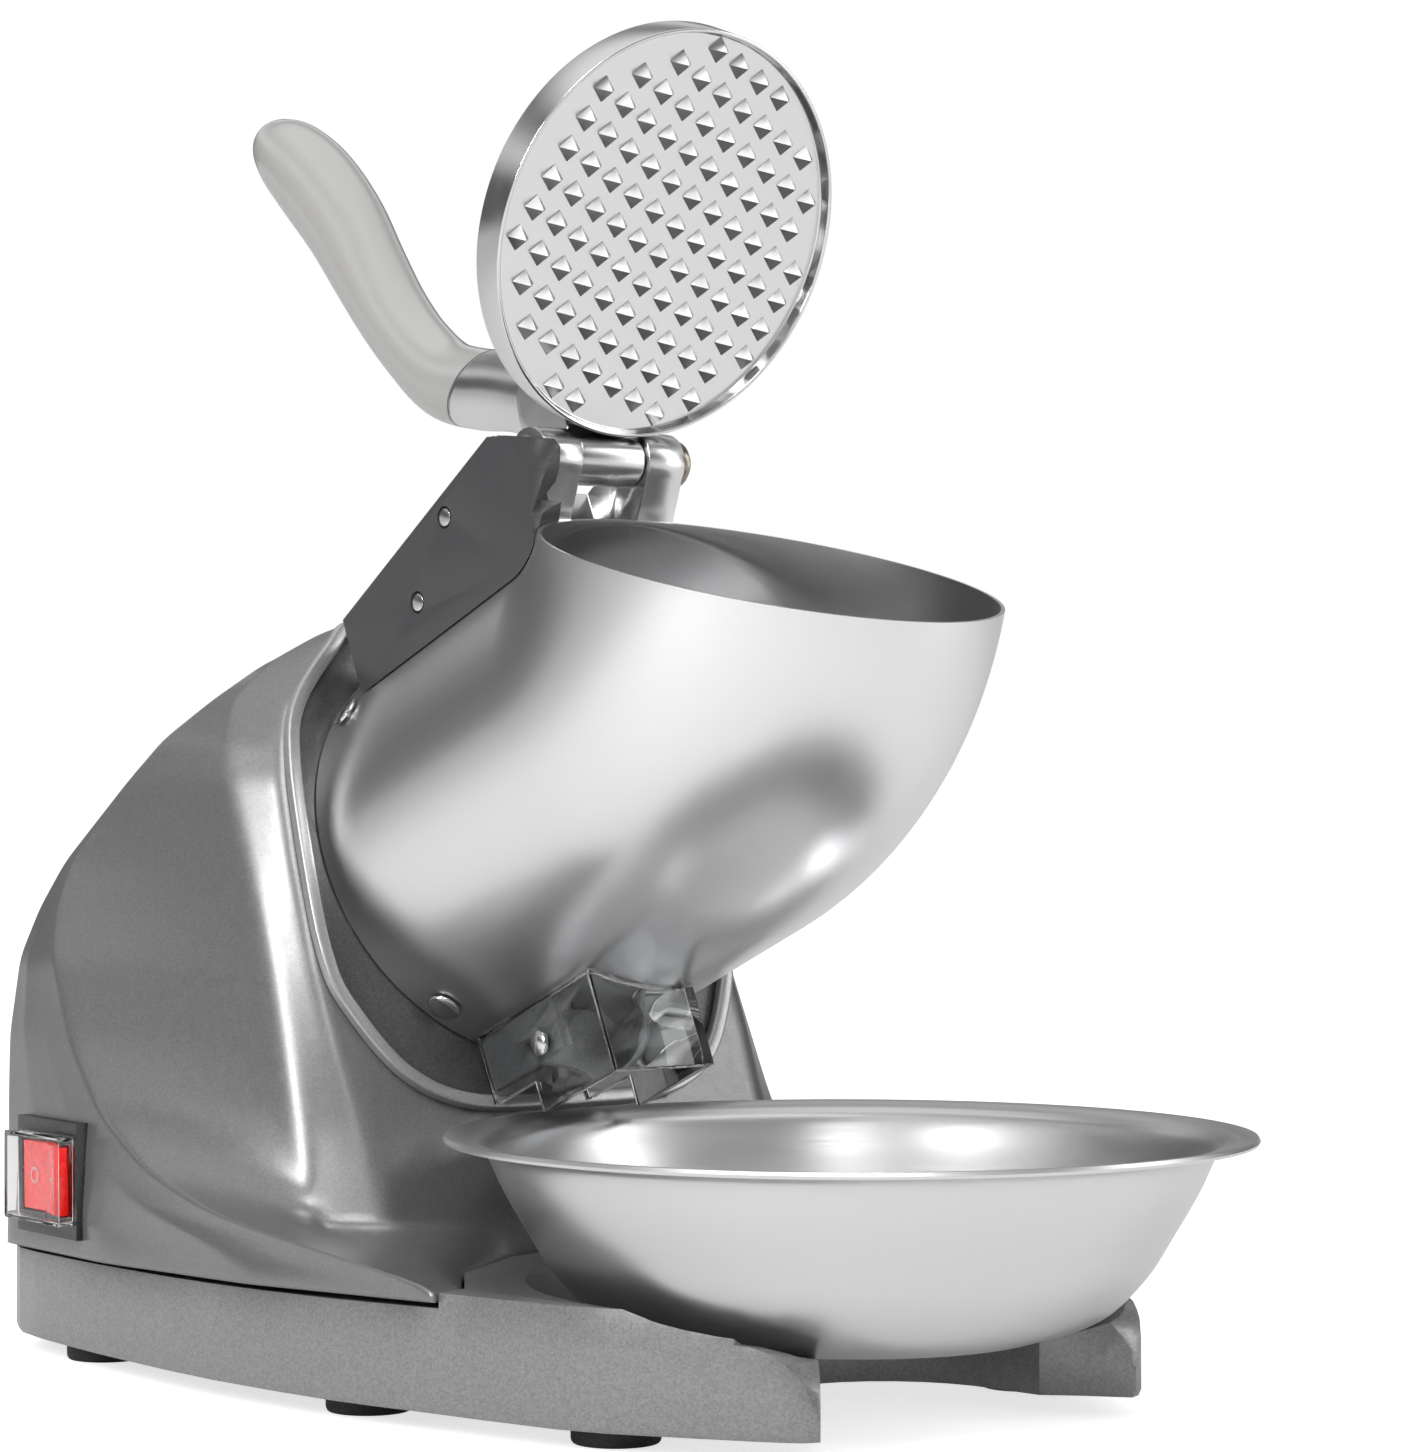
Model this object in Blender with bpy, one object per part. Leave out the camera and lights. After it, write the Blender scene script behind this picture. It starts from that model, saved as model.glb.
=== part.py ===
"""Electric ice shaver for slushies: cast housing, tilted drum hopper, spinning cutter and a hinged press lid.

The machine stands on z = 0, its front faces -Y and its switch side is -X.  Lengths are in metres.
Everything that lines up with the motor hangs on the empty "drive_axis", whose own Z runs up the hopper
tube from the face of the front plate and whose own Y climbs that plate.
"""

from math import atan2, cos, pi, radians, sin

import bmesh
import bpy
from mathutils import Euler, Matrix, Vector

MM = 0.001
GAP = 0.3 * MM                      # clearance between pieces that touch

# Driving dimensions of the whole machine
DRIVE_Y = 69.6 * MM                 # where the motor axis meets the front plate
DRIVE_Z = 163.3 * MM
DRIVE_TILT = 66.5                   # degrees that the motor axis leans forward from upright
BOWL_Y = -98.0 * MM                 # centre of the bowl and of its seat
BASE_FLOOR = 6.0 * MM               # underside of the base, the feet's height
WALL = 4.0 * MM                     # cast wall of the base and housing
OVERHANG = 2.5 * MM                 # housing past the base

# Hopper tube: straight, then a tight elbow up to its mouth
TUBE_R = 71.4 * MM
TUBE_WALL = 1.2 * MM
TUBE_STRAIGHT = 99.3 * MM
ELBOW_R = 72.5 * MM
ELBOW_TURN = 52.0
COLLAR_H = 14.0 * MM                # cast collar that the tube is screwed to

# Discharge window and its clear guard stand to the switch side of the middle
CHUTE_X = -12.5 * MM
CHUTE_HALF = 20.0 * MM
CHUTE_REACH = 64.0 * MM
CHUTE_SCREW = (-77.0 * MM, 34.0 * MM)   # climb on the plate and height above it

# Bowl, turned about its own centre: rim, wall and flat foot
BOWL_RIM_R = 120.0 * MM
BOWL_RIM_Z = 84.0 * MM
SEAT_Z = 25.0 * MM                  # floor of the dish that the bowl stands in
NOTCH_R = 43.0 * MM                 # notch between the two front prongs
NOTCH_Y = -115.0 * MM

# Lid hinge
HINGE_Y = 15.0 * MM
HINGE_Z = 288.0 * MM
LUG_R = 9.4 * MM
HUB_R = 8.2 * MM
HINGE_X = -4.0 * MM                 # middle of the clevis
LUG_IN = 13.3 * MM                  # inner and outer faces of the two hinge lugs, from the clevis's middle
LUG_OUT = 28.0 * MM
HUB_HALF = 12.8 * MM
PIN_R = 4.0 * MM

# Press plate: centre of its toothed face, and how far it leans forward of upright when open
PLATE_Y = -15.0 * MM
PLATE_Z = 356.0 * MM
PLATE_R = 65.4 * MM
PLATE_THICK = 11.5 * MM
PLATE_LEAN = 19.9

# Mains switch
SWITCH_SPOT = (-121 * MM, 143 * MM, 60.5 * MM)
SWITCH_YAW = radians(5.5)           # the wall here turns in towards the back
ROCKER_PIVOT = 4.0 * MM             # above the wall
ROCKER_TILT = radians(8)            # rests with its rear half pressed in

FOOT_SPOTS = [(101, 148), (100, 5), (81, -88)]     # millimetres, mirrored to -X


def material(name, color, roughness, metallic=0.0):
    """Principled material of one sub-part."""
    made = bpy.data.materials.new(name)
    made.use_nodes = True
    shader = made.node_tree.nodes["Principled BSDF"]
    shader.inputs["Base Color"].default_value = (*color, 1.0)
    shader.inputs["Roughness"].default_value = roughness
    shader.inputs["Metallic"].default_value = metallic
    made.diffuse_color = (*color, 1.0)
    return made


def new_object(name, bm, parent=None, location=(0, 0, 0), rotation=(0, 0, 0), look=None):
    """Turns a bmesh into a named object with outward faces, placed under its parent."""
    bmesh.ops.recalc_face_normals(bm, faces=bm.faces)
    mesh = bpy.data.meshes.new(name)
    bm.to_mesh(mesh)
    bm.free()
    mesh.shade_smooth()
    mesh.set_sharp_from_angle(angle=radians(35))
    obj = bpy.data.objects.new(name, mesh)
    bpy.context.scene.collection.objects.link(obj)
    obj.parent = parent
    obj.location = location
    obj.rotation_euler = rotation
    if look:
        mesh.materials.append(material(name, *look))
    return obj


def frame(name, location, rotation=(0, 0, 0)):
    """An empty that carries pieces."""
    empty = bpy.data.objects.new(name, None)
    bpy.context.scene.collection.objects.link(empty)
    empty.location = location
    empty.rotation_euler = rotation
    return empty


def loft(sections, ring=False):
    """Skin over loops with equal point counts: capped at both ends, or joined last to first."""
    bm = bmesh.new()
    loops = [[bm.verts.new(p) for p in section] for section in sections]
    pairs = list(zip(loops, loops[1:]))
    if ring:
        pairs.append((loops[-1], loops[0]))
    else:
        bm.faces.new(loops[0])
        bm.faces.new(loops[-1])
    for low, high in pairs:
        for i in range(len(low)):
            j = (i + 1) % len(low)
            bm.faces.new((low[i], low[j], high[j], high[i]))
    return bm


def prism(outline, low, high):
    """An outline in X and Y carried from one height to another."""
    return loft([[(x, y, z) for x, y in outline] for z in (low, high)])


def slab(outline, low, high):
    """A side-view outline in Y and Z carried along X."""
    return loft([[(x, y, z) for y, z in outline] for x in (low, high)])


def turned(profile, steps=40):
    """A closed profile of (radius, height) carried round Z; points on the axis become poles."""
    bm = bmesh.new()
    rings = []
    for r, z in profile:
        count = steps if r > 0 else 1
        angles = [2 * pi * k / steps for k in range(count)]
        rings.append([bm.verts.new((r * cos(t), r * sin(t), z)) for t in angles])
    for one, two in zip(rings, rings[1:] + rings[:1]):
        if len(one) == 1 and len(two) == 1:
            continue
        for k in range(steps):
            n = (k + 1) % steps
            if len(one) == 1:
                bm.faces.new((one[0], two[n], two[k]))
            elif len(two) == 1:
                bm.faces.new((one[k], one[n], two[0]))
            else:
                bm.faces.new((one[k], one[n], two[n], two[k]))
    return bm


def tube(outer, inner, low, high, steps=40):
    """A plain ring or bush."""
    return turned([(outer, low), (outer, high), (inner, high), (inner, low)], steps)


def rod(radius, low, high, steps=24):
    """A plain round bar along Z."""
    return turned([(0, low), (radius, low), (radius, high), (0, high)], steps)


def box(size, centre=(0, 0, 0)):
    """A box given by its size and centre."""
    x, y, z = (s / 2 for s in size)
    outline = [(centre[0] + i * x, centre[1] + j * y) for i, j in ((-1, -1), (1, -1), (1, 1), (-1, 1))]
    return prism(outline, centre[2] - z, centre[2] + z)


def arc(cx, cy, radius, start, end, steps):
    """Points on an arc, angles in degrees."""
    angles = [radians(start + (end - start) * k / steps) for k in range(steps + 1)]
    return [(cx + radius * cos(t), cy + radius * sin(t)) for t in angles]


def curve_through(points, steps=3):
    """Catmull-Rom curve through the points, with a few extra points on each span."""
    padded = [points[0]] + list(points) + [points[-1]]
    made = []
    for p0, p1, p2, p3 in zip(padded, padded[1:], padded[2:], padded[3:]):
        for k in range(steps):
            t = k / steps
            made.append(tuple(
                0.5 * (2 * b + (c - a) * t + (2 * a - 5 * b + 4 * c - d) * t * t + (3 * b - a - 3 * c + d) * t ** 3)
                for a, b, c, d in zip(p0, p1, p2, p3)))
    return made + [tuple(points[-1])]


def mirrored(half):
    """Closes a right-hand outline, listed front to back, with its mirror image."""
    return list(half) + [(-x, y) for x, y in reversed(half) if x > 0]


def inset(outline, amount):
    """Moves a closed anticlockwise outline inwards by the given amount."""
    made = []
    for before, here, after in zip(outline[-1:] + outline[:-1], outline, outline[1:] + outline[:1]):
        a = Vector((here[0] - before[0], here[1] - before[1])).normalized()
        b = Vector((after[0] - here[0], after[1] - here[1])).normalized()
        normal = Vector((-a.y - b.y, a.x + b.x)).normalized()
        stretch = amount / max(0.4, normal.dot(Vector((-a.y, a.x))))
        made.append((here[0] + normal.x * stretch, here[1] + normal.y * stretch))
    return made


def boolean(target, tool, operation="DIFFERENCE"):
    """Cuts or joins with a second object, which stays behind as a hidden guide."""
    tool.hide_render = True
    tool.display_type = "WIRE"
    change = target.modifiers.new(tool.name, "BOOLEAN")
    change.operation = operation
    change.solver = "EXACT"
    change.object = tool


# ---------------------------------------------------------------- base

def base_half_width():
    """Half plan of the base, tip of a prong to the middle of the back."""
    side = [(58, -155), (67, -152), (76, -140), (92, -114), (104, -89), (115, -36), (121.5, -3), (125.5, 52),
            (123.5, 103), (120, 143), (114.2, 180), (103, 197), (84, 206), (45, 211.5), (0, 213.5)]
    return [(x * MM, y * MM) for x, y in curve_through(side, 2)]


def base_outline(amount=0.0):
    """Whole plan of the base, moved inwards by an amount."""
    return inset(mirrored(base_half_width()), amount)


def front_arc(scale=1.0):
    """Front edge of the housing: an arc that clears the bowl, from the centre to the right fender."""
    radius = 115 * MM * scale
    return [(sin(radians(t)) * radius, BOWL_Y + cos(radians(t)) * radius) for t in (0, 22, 44, 62)]


def top_of_base(y):
    """Height of the joint between base and housing, a little higher towards the front."""
    return (36.6 - 3.2 * (y / MM + 53) / 265) * MM


def build_base():
    """Base casting: skirt, two front prongs, the bowl's dish and the hollow that the bottom plate closes."""
    outline = base_outline()
    bm = loft([[(x, y, BASE_FLOOR) for x, y in base_outline(0.8 * MM)]]
              + [[(x, y, z) for x, y in outline] for z in (8 * MM, 41 * MM)])
    tray = new_object("base_tray", bm, look=((0.30, 0.30, 0.30), 0.38, 0.6))

    footprint = front_arc() + [(135 * MM, -52 * MM), (135 * MM, 240 * MM), (0, 240 * MM)]
    under_housing = [(x, y) for x, y in mirrored(footprint)]
    boolean(tray, new_object("cut_housing_seat", loft([
        [(x, y, top_of_base(y)) for x, y in under_housing],
        [(x, y, 60 * MM) for x, y in under_housing]])))

    dish = [(0, SEAT_Z), (68 * MM, SEAT_Z), (80 * MM, 29 * MM), (92 * MM, 37.5 * MM), (97 * MM, 42 * MM),
            (97 * MM, 60 * MM), (0, 60 * MM)]
    boolean(tray, new_object("cut_dish", turned(dish, 64), location=(0, BOWL_Y, 0)))

    notch = arc(0, NOTCH_Y, NOTCH_R, 0, 180, 16)
    flare = [(44.5, -132), (53.5, -142), (61.5, -153), (90, -180)]
    notch += [(-x * MM, y * MM) for x, y in flare] + [(x * MM, y * MM) for x, y in reversed(flare)]
    boolean(tray, new_object("cut_notch", prism(notch, -5 * MM, 70 * MM)))

    nose = arc(-136 * MM, 15 * MM, 17.5 * MM, 90, 180, 6)
    nose += [(-0.2, 15 * MM), (-0.2, 60 * MM), (-136 * MM, 60 * MM)]
    boolean(tray, new_object("cut_nose", slab(nose, -0.15, 0.15)))

    back = [p for p in base_outline(WALL) if p[1] > -62 * MM]
    hollow = sorted_loop(back)
    boolean(tray, new_object("cut_front_hollow", prism(hollow, -5 * MM, 21 * MM)))
    rear = sorted_loop([p for p in base_outline(WALL) if p[1] > 16 * MM])
    boolean(tray, new_object("cut_rear_hollow", prism(rear, 10 * MM, 29 * MM)))
    return tray


def sorted_loop(points):
    """Orders points round their middle, for an outline that has lost its front."""
    cx = sum(p[0] for p in points) / len(points)
    cy = sum(p[1] for p in points) / len(points)
    return sorted(points, key=lambda p: atan2(p[1] - cy, p[0] - cx))


def build_bottom_plate():
    """Pressed steel plate that closes the hollow of the base."""
    plan = sorted_loop([p for p in base_outline(WALL + 0.5 * MM) if p[1] > -61 * MM])
    return new_object("bottom_plate", prism(plan, BASE_FLOOR, 8 * MM), look=((0.05, 0.05, 0.05), 0.6))


def build_feet(tray, plate):
    """Six rubber feet, each held by a pan-head screw from below."""
    number = 0
    for side in (-1, 1):
        for x, y in FOOT_SPOTS:
            number += 1
            spot = (side * x * MM, y * MM, 0)
            foot = [(12.5, 0), (13, 0.8), (13, 5.7), (2.3, 5.7), (2.3, 3), (5.5, 3), (5.5, 0)]
            new_object(f"foot_{number}", turned([(r * MM, z * MM) for r, z in foot], 16), location=spot,
                       look=((0.02, 0.02, 0.02), 0.75))
            screw = [(0, 0.6), (4, 0.6), (4.6, 2.6), (1.9, 2.6), (1.9, 13), (0, 13)]
            new_object(f"foot_screw_{number}", turned([(r * MM, z * MM) for r, z in screw], 12), location=spot,
                       look=((0.6, 0.6, 0.6), 0.35, 1.0))
            hole = new_object(f"cut_foot_hole_{number}", rod(2.3 * MM, 0, 14 * MM, 12), location=spot)
            boolean(tray if y < -62 else plate, hole)


# ---------------------------------------------------------------- housing

# One row for each level, in millimetres: height, rim x, ridge x and y, crease x and y, corner x and y, back y
HOUSING_LEVELS = [
    (50, 80, 98, 31, 123.6, -3, 117.5, 184, 217),
    (56, 80, 97.6, 34, 127.6, 44, 117.5, 184, 217),
    (67, 80, 97, 39, 126.8, 85, 117, 184, 217),
    (83, 81, 96, 47, 124.4, 116, 116.5, 184.5, 217),
    (104, 83, 94.8, 56, 122, 137, 115.5, 185, 216.5),
    (129, 83.5, 93.3, 66.5, 119, 152, 112, 184, 214),
    (145, 82.5, 92.3, 74, 113.5, 159, 107, 180, 209),
    (160, 82, 91.4, 82, 107.5, 160, 101, 174, 200),
    (173, 80.5, 90.4, 89, 102, 152, 95.5, 164, 189.5),
    (187, 78.5, 89, 96, 97, 141, 91, 151, 176),
    (200, 74.5, 86, 102.5, 91.5, 130, 86, 138, 160),
    (213, 69, 79, 107.5, 81.5, 116, 76, 123, 142),
    (225, 57, 64, 110.5, 62, 115, 55, 120.5, 130),
    (235, 44, 46, 106.5, 40, 108, 32, 112, 118),
    (241, 26, 27, 104, 20, 105, 12, 107, 110),
]


def plate_y(z):
    """Where the plane of the front plate stands at a height."""
    return DRIVE_Y + (z - DRIVE_Z) * cos(radians(DRIVE_TILT)) / sin(radians(DRIVE_TILT))


def skirt_half_width(y):
    """Half width of the housing's lower wall: the base plan and a small overhang."""
    plan = base_half_width()
    for (x0, y0), (x1, y1) in zip(plan, plan[1:]):
        if y0 <= y <= y1:
            return x0 + (x1 - x0) * (y - y0) / (y1 - y0) + OVERHANG
    return plan[-1][0] + OVERHANG


def wall_points(crease, corner):
    """Points along the side wall between its crease and the back corner, bulging as the base plan does."""
    lean_front = skirt_half_width(crease[1]) - crease[0]
    lean_back = skirt_half_width(corner[1]) - corner[0]
    points = []
    for f in (0.33, 0.67):
        y = crease[1] + (corner[1] - crease[1]) * f
        points.append((skirt_half_width(y) - lean_front - (lean_back - lean_front) * f, y))
    return points


def back_points(corner, back_y):
    """Points from the back corner to the middle of the convex back."""
    x, y = corner
    return [(f * x, y + (back_y - y) * (1 - f ** 2.6)) for f in (0.92, 0.75, 0.5, 0.25, 0)]


def housing_section(level, thin=0.0):
    """Horizontal outline of the housing at one level; thin moves its wall inwards."""
    z, rim, ridge_x, ridge_y, crease_x, crease_y, corner_x, corner_y, back_y = (v * MM for v in level)
    front = plate_y(z) + thin * 1.1
    crease = (crease_x - thin, crease_y)
    corner = (corner_x - thin, corner_y - thin * 0.4)
    points = [(f * (rim - thin), front) for f in (0, 0.5, 1)]
    points.append((ridge_x - thin, max(front, ridge_y + thin * 0.6)))
    points += [crease] + wall_points(crease, corner) + [corner] + back_points(corner, back_y - thin)
    loop = [(x, y, z) for x, y in points]
    return loop + [(-x, y, zz) for x, y, zz in reversed(loop) if x > 0]


def fender_section(z, scale):
    """Low outline of the housing: arc round the bowl in front, base plan with an overhang behind."""
    tip = (skirt_half_width(-47 * MM), -47 * MM)
    corner = (118 * MM, 184 * MM)
    points = front_arc(scale) + [tip] + wall_points(tip, corner) + [corner] + back_points(corner, 217 * MM)
    loop = [(x, y, top_of_base(y) + z) for x, y in points]
    return loop + [(-x, y, zz) for x, y, zz in reversed(loop) if x > 0]


def build_housing():
    """Housing: low fenders round the bowl, sloped cheeks, ridge either side of the plate, rounded back."""
    low = [fender_section(2 * MM, 1.006), fender_section(6 * MM, 1.012)]
    bm = loft(low + [housing_section(level) for level in HOUSING_LEVELS])
    shell = new_object("housing_shell", bm, look=((0.21, 0.21, 0.21), 0.4, 0.65))
    levels = [level for level in HOUSING_LEVELS if 60 < level[0] < 230]
    first = levels[0]
    under = (20,) + first[1:]
    cavity = [housing_section(under, WALL)] + [housing_section(level, WALL) for level in levels]
    boolean(shell, new_object("cut_cavity", loft(cavity)))
    return shell


# ---------------------------------------------------------------- front plate, bezel, hopper

def bezel_outline(amount=0.0):
    """Outline of the bezel in the plane of the front plate, moved inwards by an amount."""
    side = [(0, -88), (39, -86.4), (63, -75), (79, -51), (83, -34.5), (82, -8), (77, 33), (69, 54), (49, 75),
            (42.5, 80.5), (24, 84), (0, 85)]
    return inset(mirrored([(x * MM, y * MM) for x, y in curve_through(side, 2)]), amount)


def build_front(axis, shell):
    """Front plate with the collar for the hopper, and the bezel that hides the plate's joint."""
    plate = new_object("front_plate", prism(bezel_outline(2.6 * MM), -3.5 * MM, -GAP), axis,
                       look=((0.10, 0.10, 0.105), 0.45, 0.6))
    collar = tube(69.8 * MM, 66.8 * MM, -1.5 * MM, COLLAR_H, 48)
    boolean(plate, new_object("join_collar", collar, axis), "UNION")
    boolean(plate, new_object("cut_shaft_hole", rod(10 * MM, -20 * MM, 20 * MM, 32), axis))
    opening = prism(bezel_outline(2.0 * MM), -9 * MM, 8 * MM)
    boolean(shell, new_object("cut_front_opening", opening, axis))
    loops = [[(x, y, z) for x, y in bezel_outline(amount)]
             for amount, z in ((0, GAP), (0, 2.6 * MM), (0.9 * MM, 3.5 * MM), (4.2 * MM, 3.5 * MM), (4.8 * MM, GAP))]
    new_object("bezel_ring", loft(loops, ring=True), axis, look=((0.45, 0.45, 0.45), 0.35, 0.6))
    return plate


def tube_section(radius, travel, steps=40):
    """Circle of the hopper after a travel: 0 is the foot, 1 the start of the elbow and 2 the mouth."""
    turn = radians(ELBOW_TURN) * max(0.0, travel - 1)
    straight = TUBE_STRAIGHT * min(1.0, travel)
    circle = []
    for k in range(steps):
        t = 2 * pi * k / steps
        across = radius * sin(t) - ELBOW_R
        circle.append((radius * cos(t), ELBOW_R + across * cos(turn), straight - across * sin(turn)))
    return circle


def build_hopper(axis, plate):
    """Stainless hopper: a tube welded to a tight elbow, with the discharge window low at its foot."""
    stops = [0, 1] + [1 + k / 7 for k in range(1, 8)]
    outer = tube_loops(TUBE_R, stops)
    inner = tube_loops(TUBE_R - TUBE_WALL, stops)
    hopper = new_object("hopper", loft(outer + inner[::-1], ring=True), axis, look=((0.62, 0.62, 0.62), 0.22, 1.0))
    window = box((32 * MM, 40 * MM, 22 * MM), (CHUTE_X, -72 * MM, 13.5 * MM))
    window_cutter = new_object("cut_window", window, axis)
    boolean(hopper, window_cutter)
    boolean(plate, window_cutter)
    for number, angle in enumerate((40, 140, 230, 310), 1):
        turn = Euler((0, radians(90), radians(angle)), "XYZ")
        reach = TUBE_R + 0.1 * MM
        where = (reach * cos(radians(angle)), reach * sin(radians(angle)), 8.5 * MM)
        screw = [(0, -4.2), (1.5, -4.2), (1.5, 0.35), (5.5, 0.35), (5.2, 1.1), (3.5, 1.6), (0, 1.8)]
        new_object(f"hopper_screw_{number}", turned([(r * MM, z * MM) for r, z in screw], 16), axis, where, turn,
                   look=((0.6, 0.6, 0.6), 0.35, 1.0))
        hole = new_object(f"cut_hopper_screw_{number}", rod(1.9 * MM, -8 * MM, 3 * MM, 12), axis, where, turn)
        boolean(hopper, hole)
        boolean(plate, hole)
    return hopper


def tube_loops(radius, stops):
    """Circles of the hopper at several travels."""
    return [tube_section(radius, stop) for stop in stops]


def build_clearance(axis):
    """Guide a little wider than the hopper and carried on past its mouth, to trim what hugs the hopper."""
    loops = tube_loops(TUBE_R + 0.5 * MM, [0, 1] + [1 + k / 7 for k in range(1, 8)])
    turn = radians(ELBOW_TURN)
    rise = 45 * MM
    beyond = [(x, u + rise * sin(turn), w + rise * cos(turn)) for x, u, w in loops[-1]]
    below = [(x, u, -20 * MM) for x, u, w in loops[0]]
    return new_object("cut_hopper_clearance", loft([below] + loops[1:] + [beyond]), axis)


# ---------------------------------------------------------------- cutter and drive

def build_cutter(axis):
    """Cutter disc with two slots, a blade screwed beside each slot, and the nut that clamps it."""
    steel = ((0.60, 0.60, 0.60), 0.28, 1.0)
    disc = [(6.4, 14.4), (13, 14.4), (13, 17), (66, 17), (66, 20), (13, 20), (13, 23.5), (6.4, 23.5)]
    body = new_object("cutter_disc", turned([(r * MM, z * MM) for r, z in disc], 36), axis, look=steel)
    number = 0
    for k, turn in enumerate((0, pi), 1):
        spin = (0, 0, turn)
        slot = box((44 * MM, 7 * MM, 12 * MM), (39 * MM, -5 * MM, 18.5 * MM))
        boolean(body, new_object(f"cut_slot_{k}", slot, axis, rotation=spin))
        blade_shape = box((42 * MM, 15 * MM, 1.5 * MM), (39 * MM, 3 * MM, 21.1 * MM))
        blade = new_object(f"blade_{k}", blade_shape, axis, rotation=spin, look=steel)
        for x in (26, 52):
            number += 1
            spot = Vector((x * MM, 5 * MM, 0))
            spot.rotate(Euler(spin))
            screw = [(0, 17.5), (1.5, 17.5), (1.5, 22.2), (3.2, 22.2), (3.2, 24), (0, 24.6)]
            new_object(f"blade_screw_{number}", turned([(r * MM, z * MM) for r, z in screw], 12), axis, spot,
                       look=steel)
            hole = new_object(f"cut_blade_hole_{number}", rod(1.85 * MM, 10 * MM, 30 * MM, 8), axis, spot)
            boolean(body, hole)
            boolean(blade, hole)
    shaft = [(0, -108), (6, -108), (6, 24), (4, 24), (4, 33), (0, 33)]
    new_object("drive_shaft", turned([(r * MM, z * MM) for r, z in shaft], 24), axis, look=steel)
    nut = prism(arc(0, 0, 8 * MM, 0, 300, 5), 24.3 * MM, 30.5 * MM)
    nut_body = new_object("disc_nut", nut, axis, look=steel)
    boolean(nut_body, new_object("cut_nut", rod(4.35 * MM, 20 * MM, 40 * MM, 20), axis))


def build_motor(axis):
    """Direct-drive motor behind the front plate: mount, case, windings, rotor, bearings, fan and end cap."""
    cast = ((0.35, 0.35, 0.36), 0.5, 0.8)
    steel = ((0.5, 0.5, 0.5), 0.35, 1.0)
    rings = {
        "shaft_seal": ([(9.6, -5.5), (9.6, 1.5), (6.4, 1.5), (6.4, -5.5)], ((0.03, 0.03, 0.03), 0.7)),
        "motor_mount": ([(54, -8), (54, -4), (44, -4), (13.4, -4), (13.4, -13.5), (9, -13.5), (9, -16), (44, -16),
                         (44, -8)], cast),
        "front_bearing": ([(13, -13.2), (13, -6), (6.4, -6), (6.4, -13.2)], steel),
        "motor_case": ([(44, -96), (44, -16.3), (41.5, -16.3), (41.5, -96)], cast),
        "stator": ([(41, -82), (41, -30), (24.5, -30), (24.5, -82)], ((0.35, 0.15, 0.06), 0.5, 0.6)),
        "rotor": ([(23.5, -80), (23.5, -32), (6.4, -32), (6.4, -80)], steel),
        "motor_end_cap": ([(44, -102), (44, -96.3), (12, -96.3), (12, -99), (10.6, -99), (10.6, -110), (13.5, -110),
                           (13.5, -102)], cast),
        "rear_bearing": ([(10.2, -109), (10.2, -102), (6.4, -102), (6.4, -109)], steel),
    }
    for name, (profile, look) in rings.items():
        made = new_object(name, turned([(r * MM, z * MM) for r, z in profile], 28), axis, look=look)
        if name == "motor_end_cap":
            vents = made
    for k in range(5):
        turn = 2 * pi * (k + 0.2) / 5
        spot = (28 * MM * cos(turn), 28 * MM * sin(turn), -99 * MM)
        boolean(vents, new_object(f"cut_vent_{k}", rod(6 * MM, -9 * MM, 9 * MM, 10), axis, spot))
    blades = 9
    star = []
    for k in range(blades * 4):
        reach = 36 * MM if k % 4 in (1, 2) else 14 * MM
        star.append((reach * cos(2 * pi * k / (blades * 4)), reach * sin(2 * pi * k / (blades * 4))))
    fan = new_object("fan", prism(star, -93 * MM, -85 * MM), axis, look=((0.05, 0.05, 0.05), 0.5))
    boolean(fan, new_object("cut_fan", rod(6.4 * MM, -100 * MM, -80 * MM, 24), axis))


# ---------------------------------------------------------------- guard, spout and bowl

def channel(half, reach, thick, back, low, high):
    """Three walls round a chute, open behind: a U in plan, carried between two climbs on the plate."""
    plan = [(-half, back), (-half, reach), (half, reach), (half, back), (half - thick, back),
            (half - thick, reach - thick), (thick - half, reach - thick), (thick - half, back)]
    return loft([[(CHUTE_X + x, y, z) for x, z in plan] for y in (low, high)])


def build_guard(axis, hopper_clearance):
    """Clear guard under the hopper, trimmed to the tube, stepped below and held by a screw in each side."""
    walls = channel(CHUTE_HALF, CHUTE_REACH, 2.5 * MM, 3.9 * MM, -97 * MM, -55 * MM)
    guard = new_object("chute_guard", walls, axis, look=((0.85, 0.88, 0.9), 0.05))
    boolean(guard, hopper_clearance)
    step = box((90 * MM, 30 * MM, 40 * MM), (CHUTE_X, -101.5 * MM, 6 * MM))
    boolean(guard, new_object("cut_guard_step", step, axis))
    for number, side in enumerate((-1, 1), 1):
        where = (CHUTE_X + side * (CHUTE_HALF + 0.1 * MM), *CHUTE_SCREW)
        turn = (0, side * radians(90), 0)
        screw = [(0, -6.5), (1.5, -6.5), (1.5, 0.3), (4, 0.3), (4, 1.6), (2.5, 2.4), (0, 2.6)]
        new_object(f"chute_screw_{number}", turned([(r * MM, z * MM) for r, z in screw], 12), axis, where, turn,
                   look=((0.65, 0.65, 0.65), 0.3, 1.0))
        hole = new_object(f"cut_chute_hole_{number}", rod(1.9 * MM, -8 * MM, 4 * MM, 8), axis, where, turn)
        boolean(guard, hole)


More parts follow.
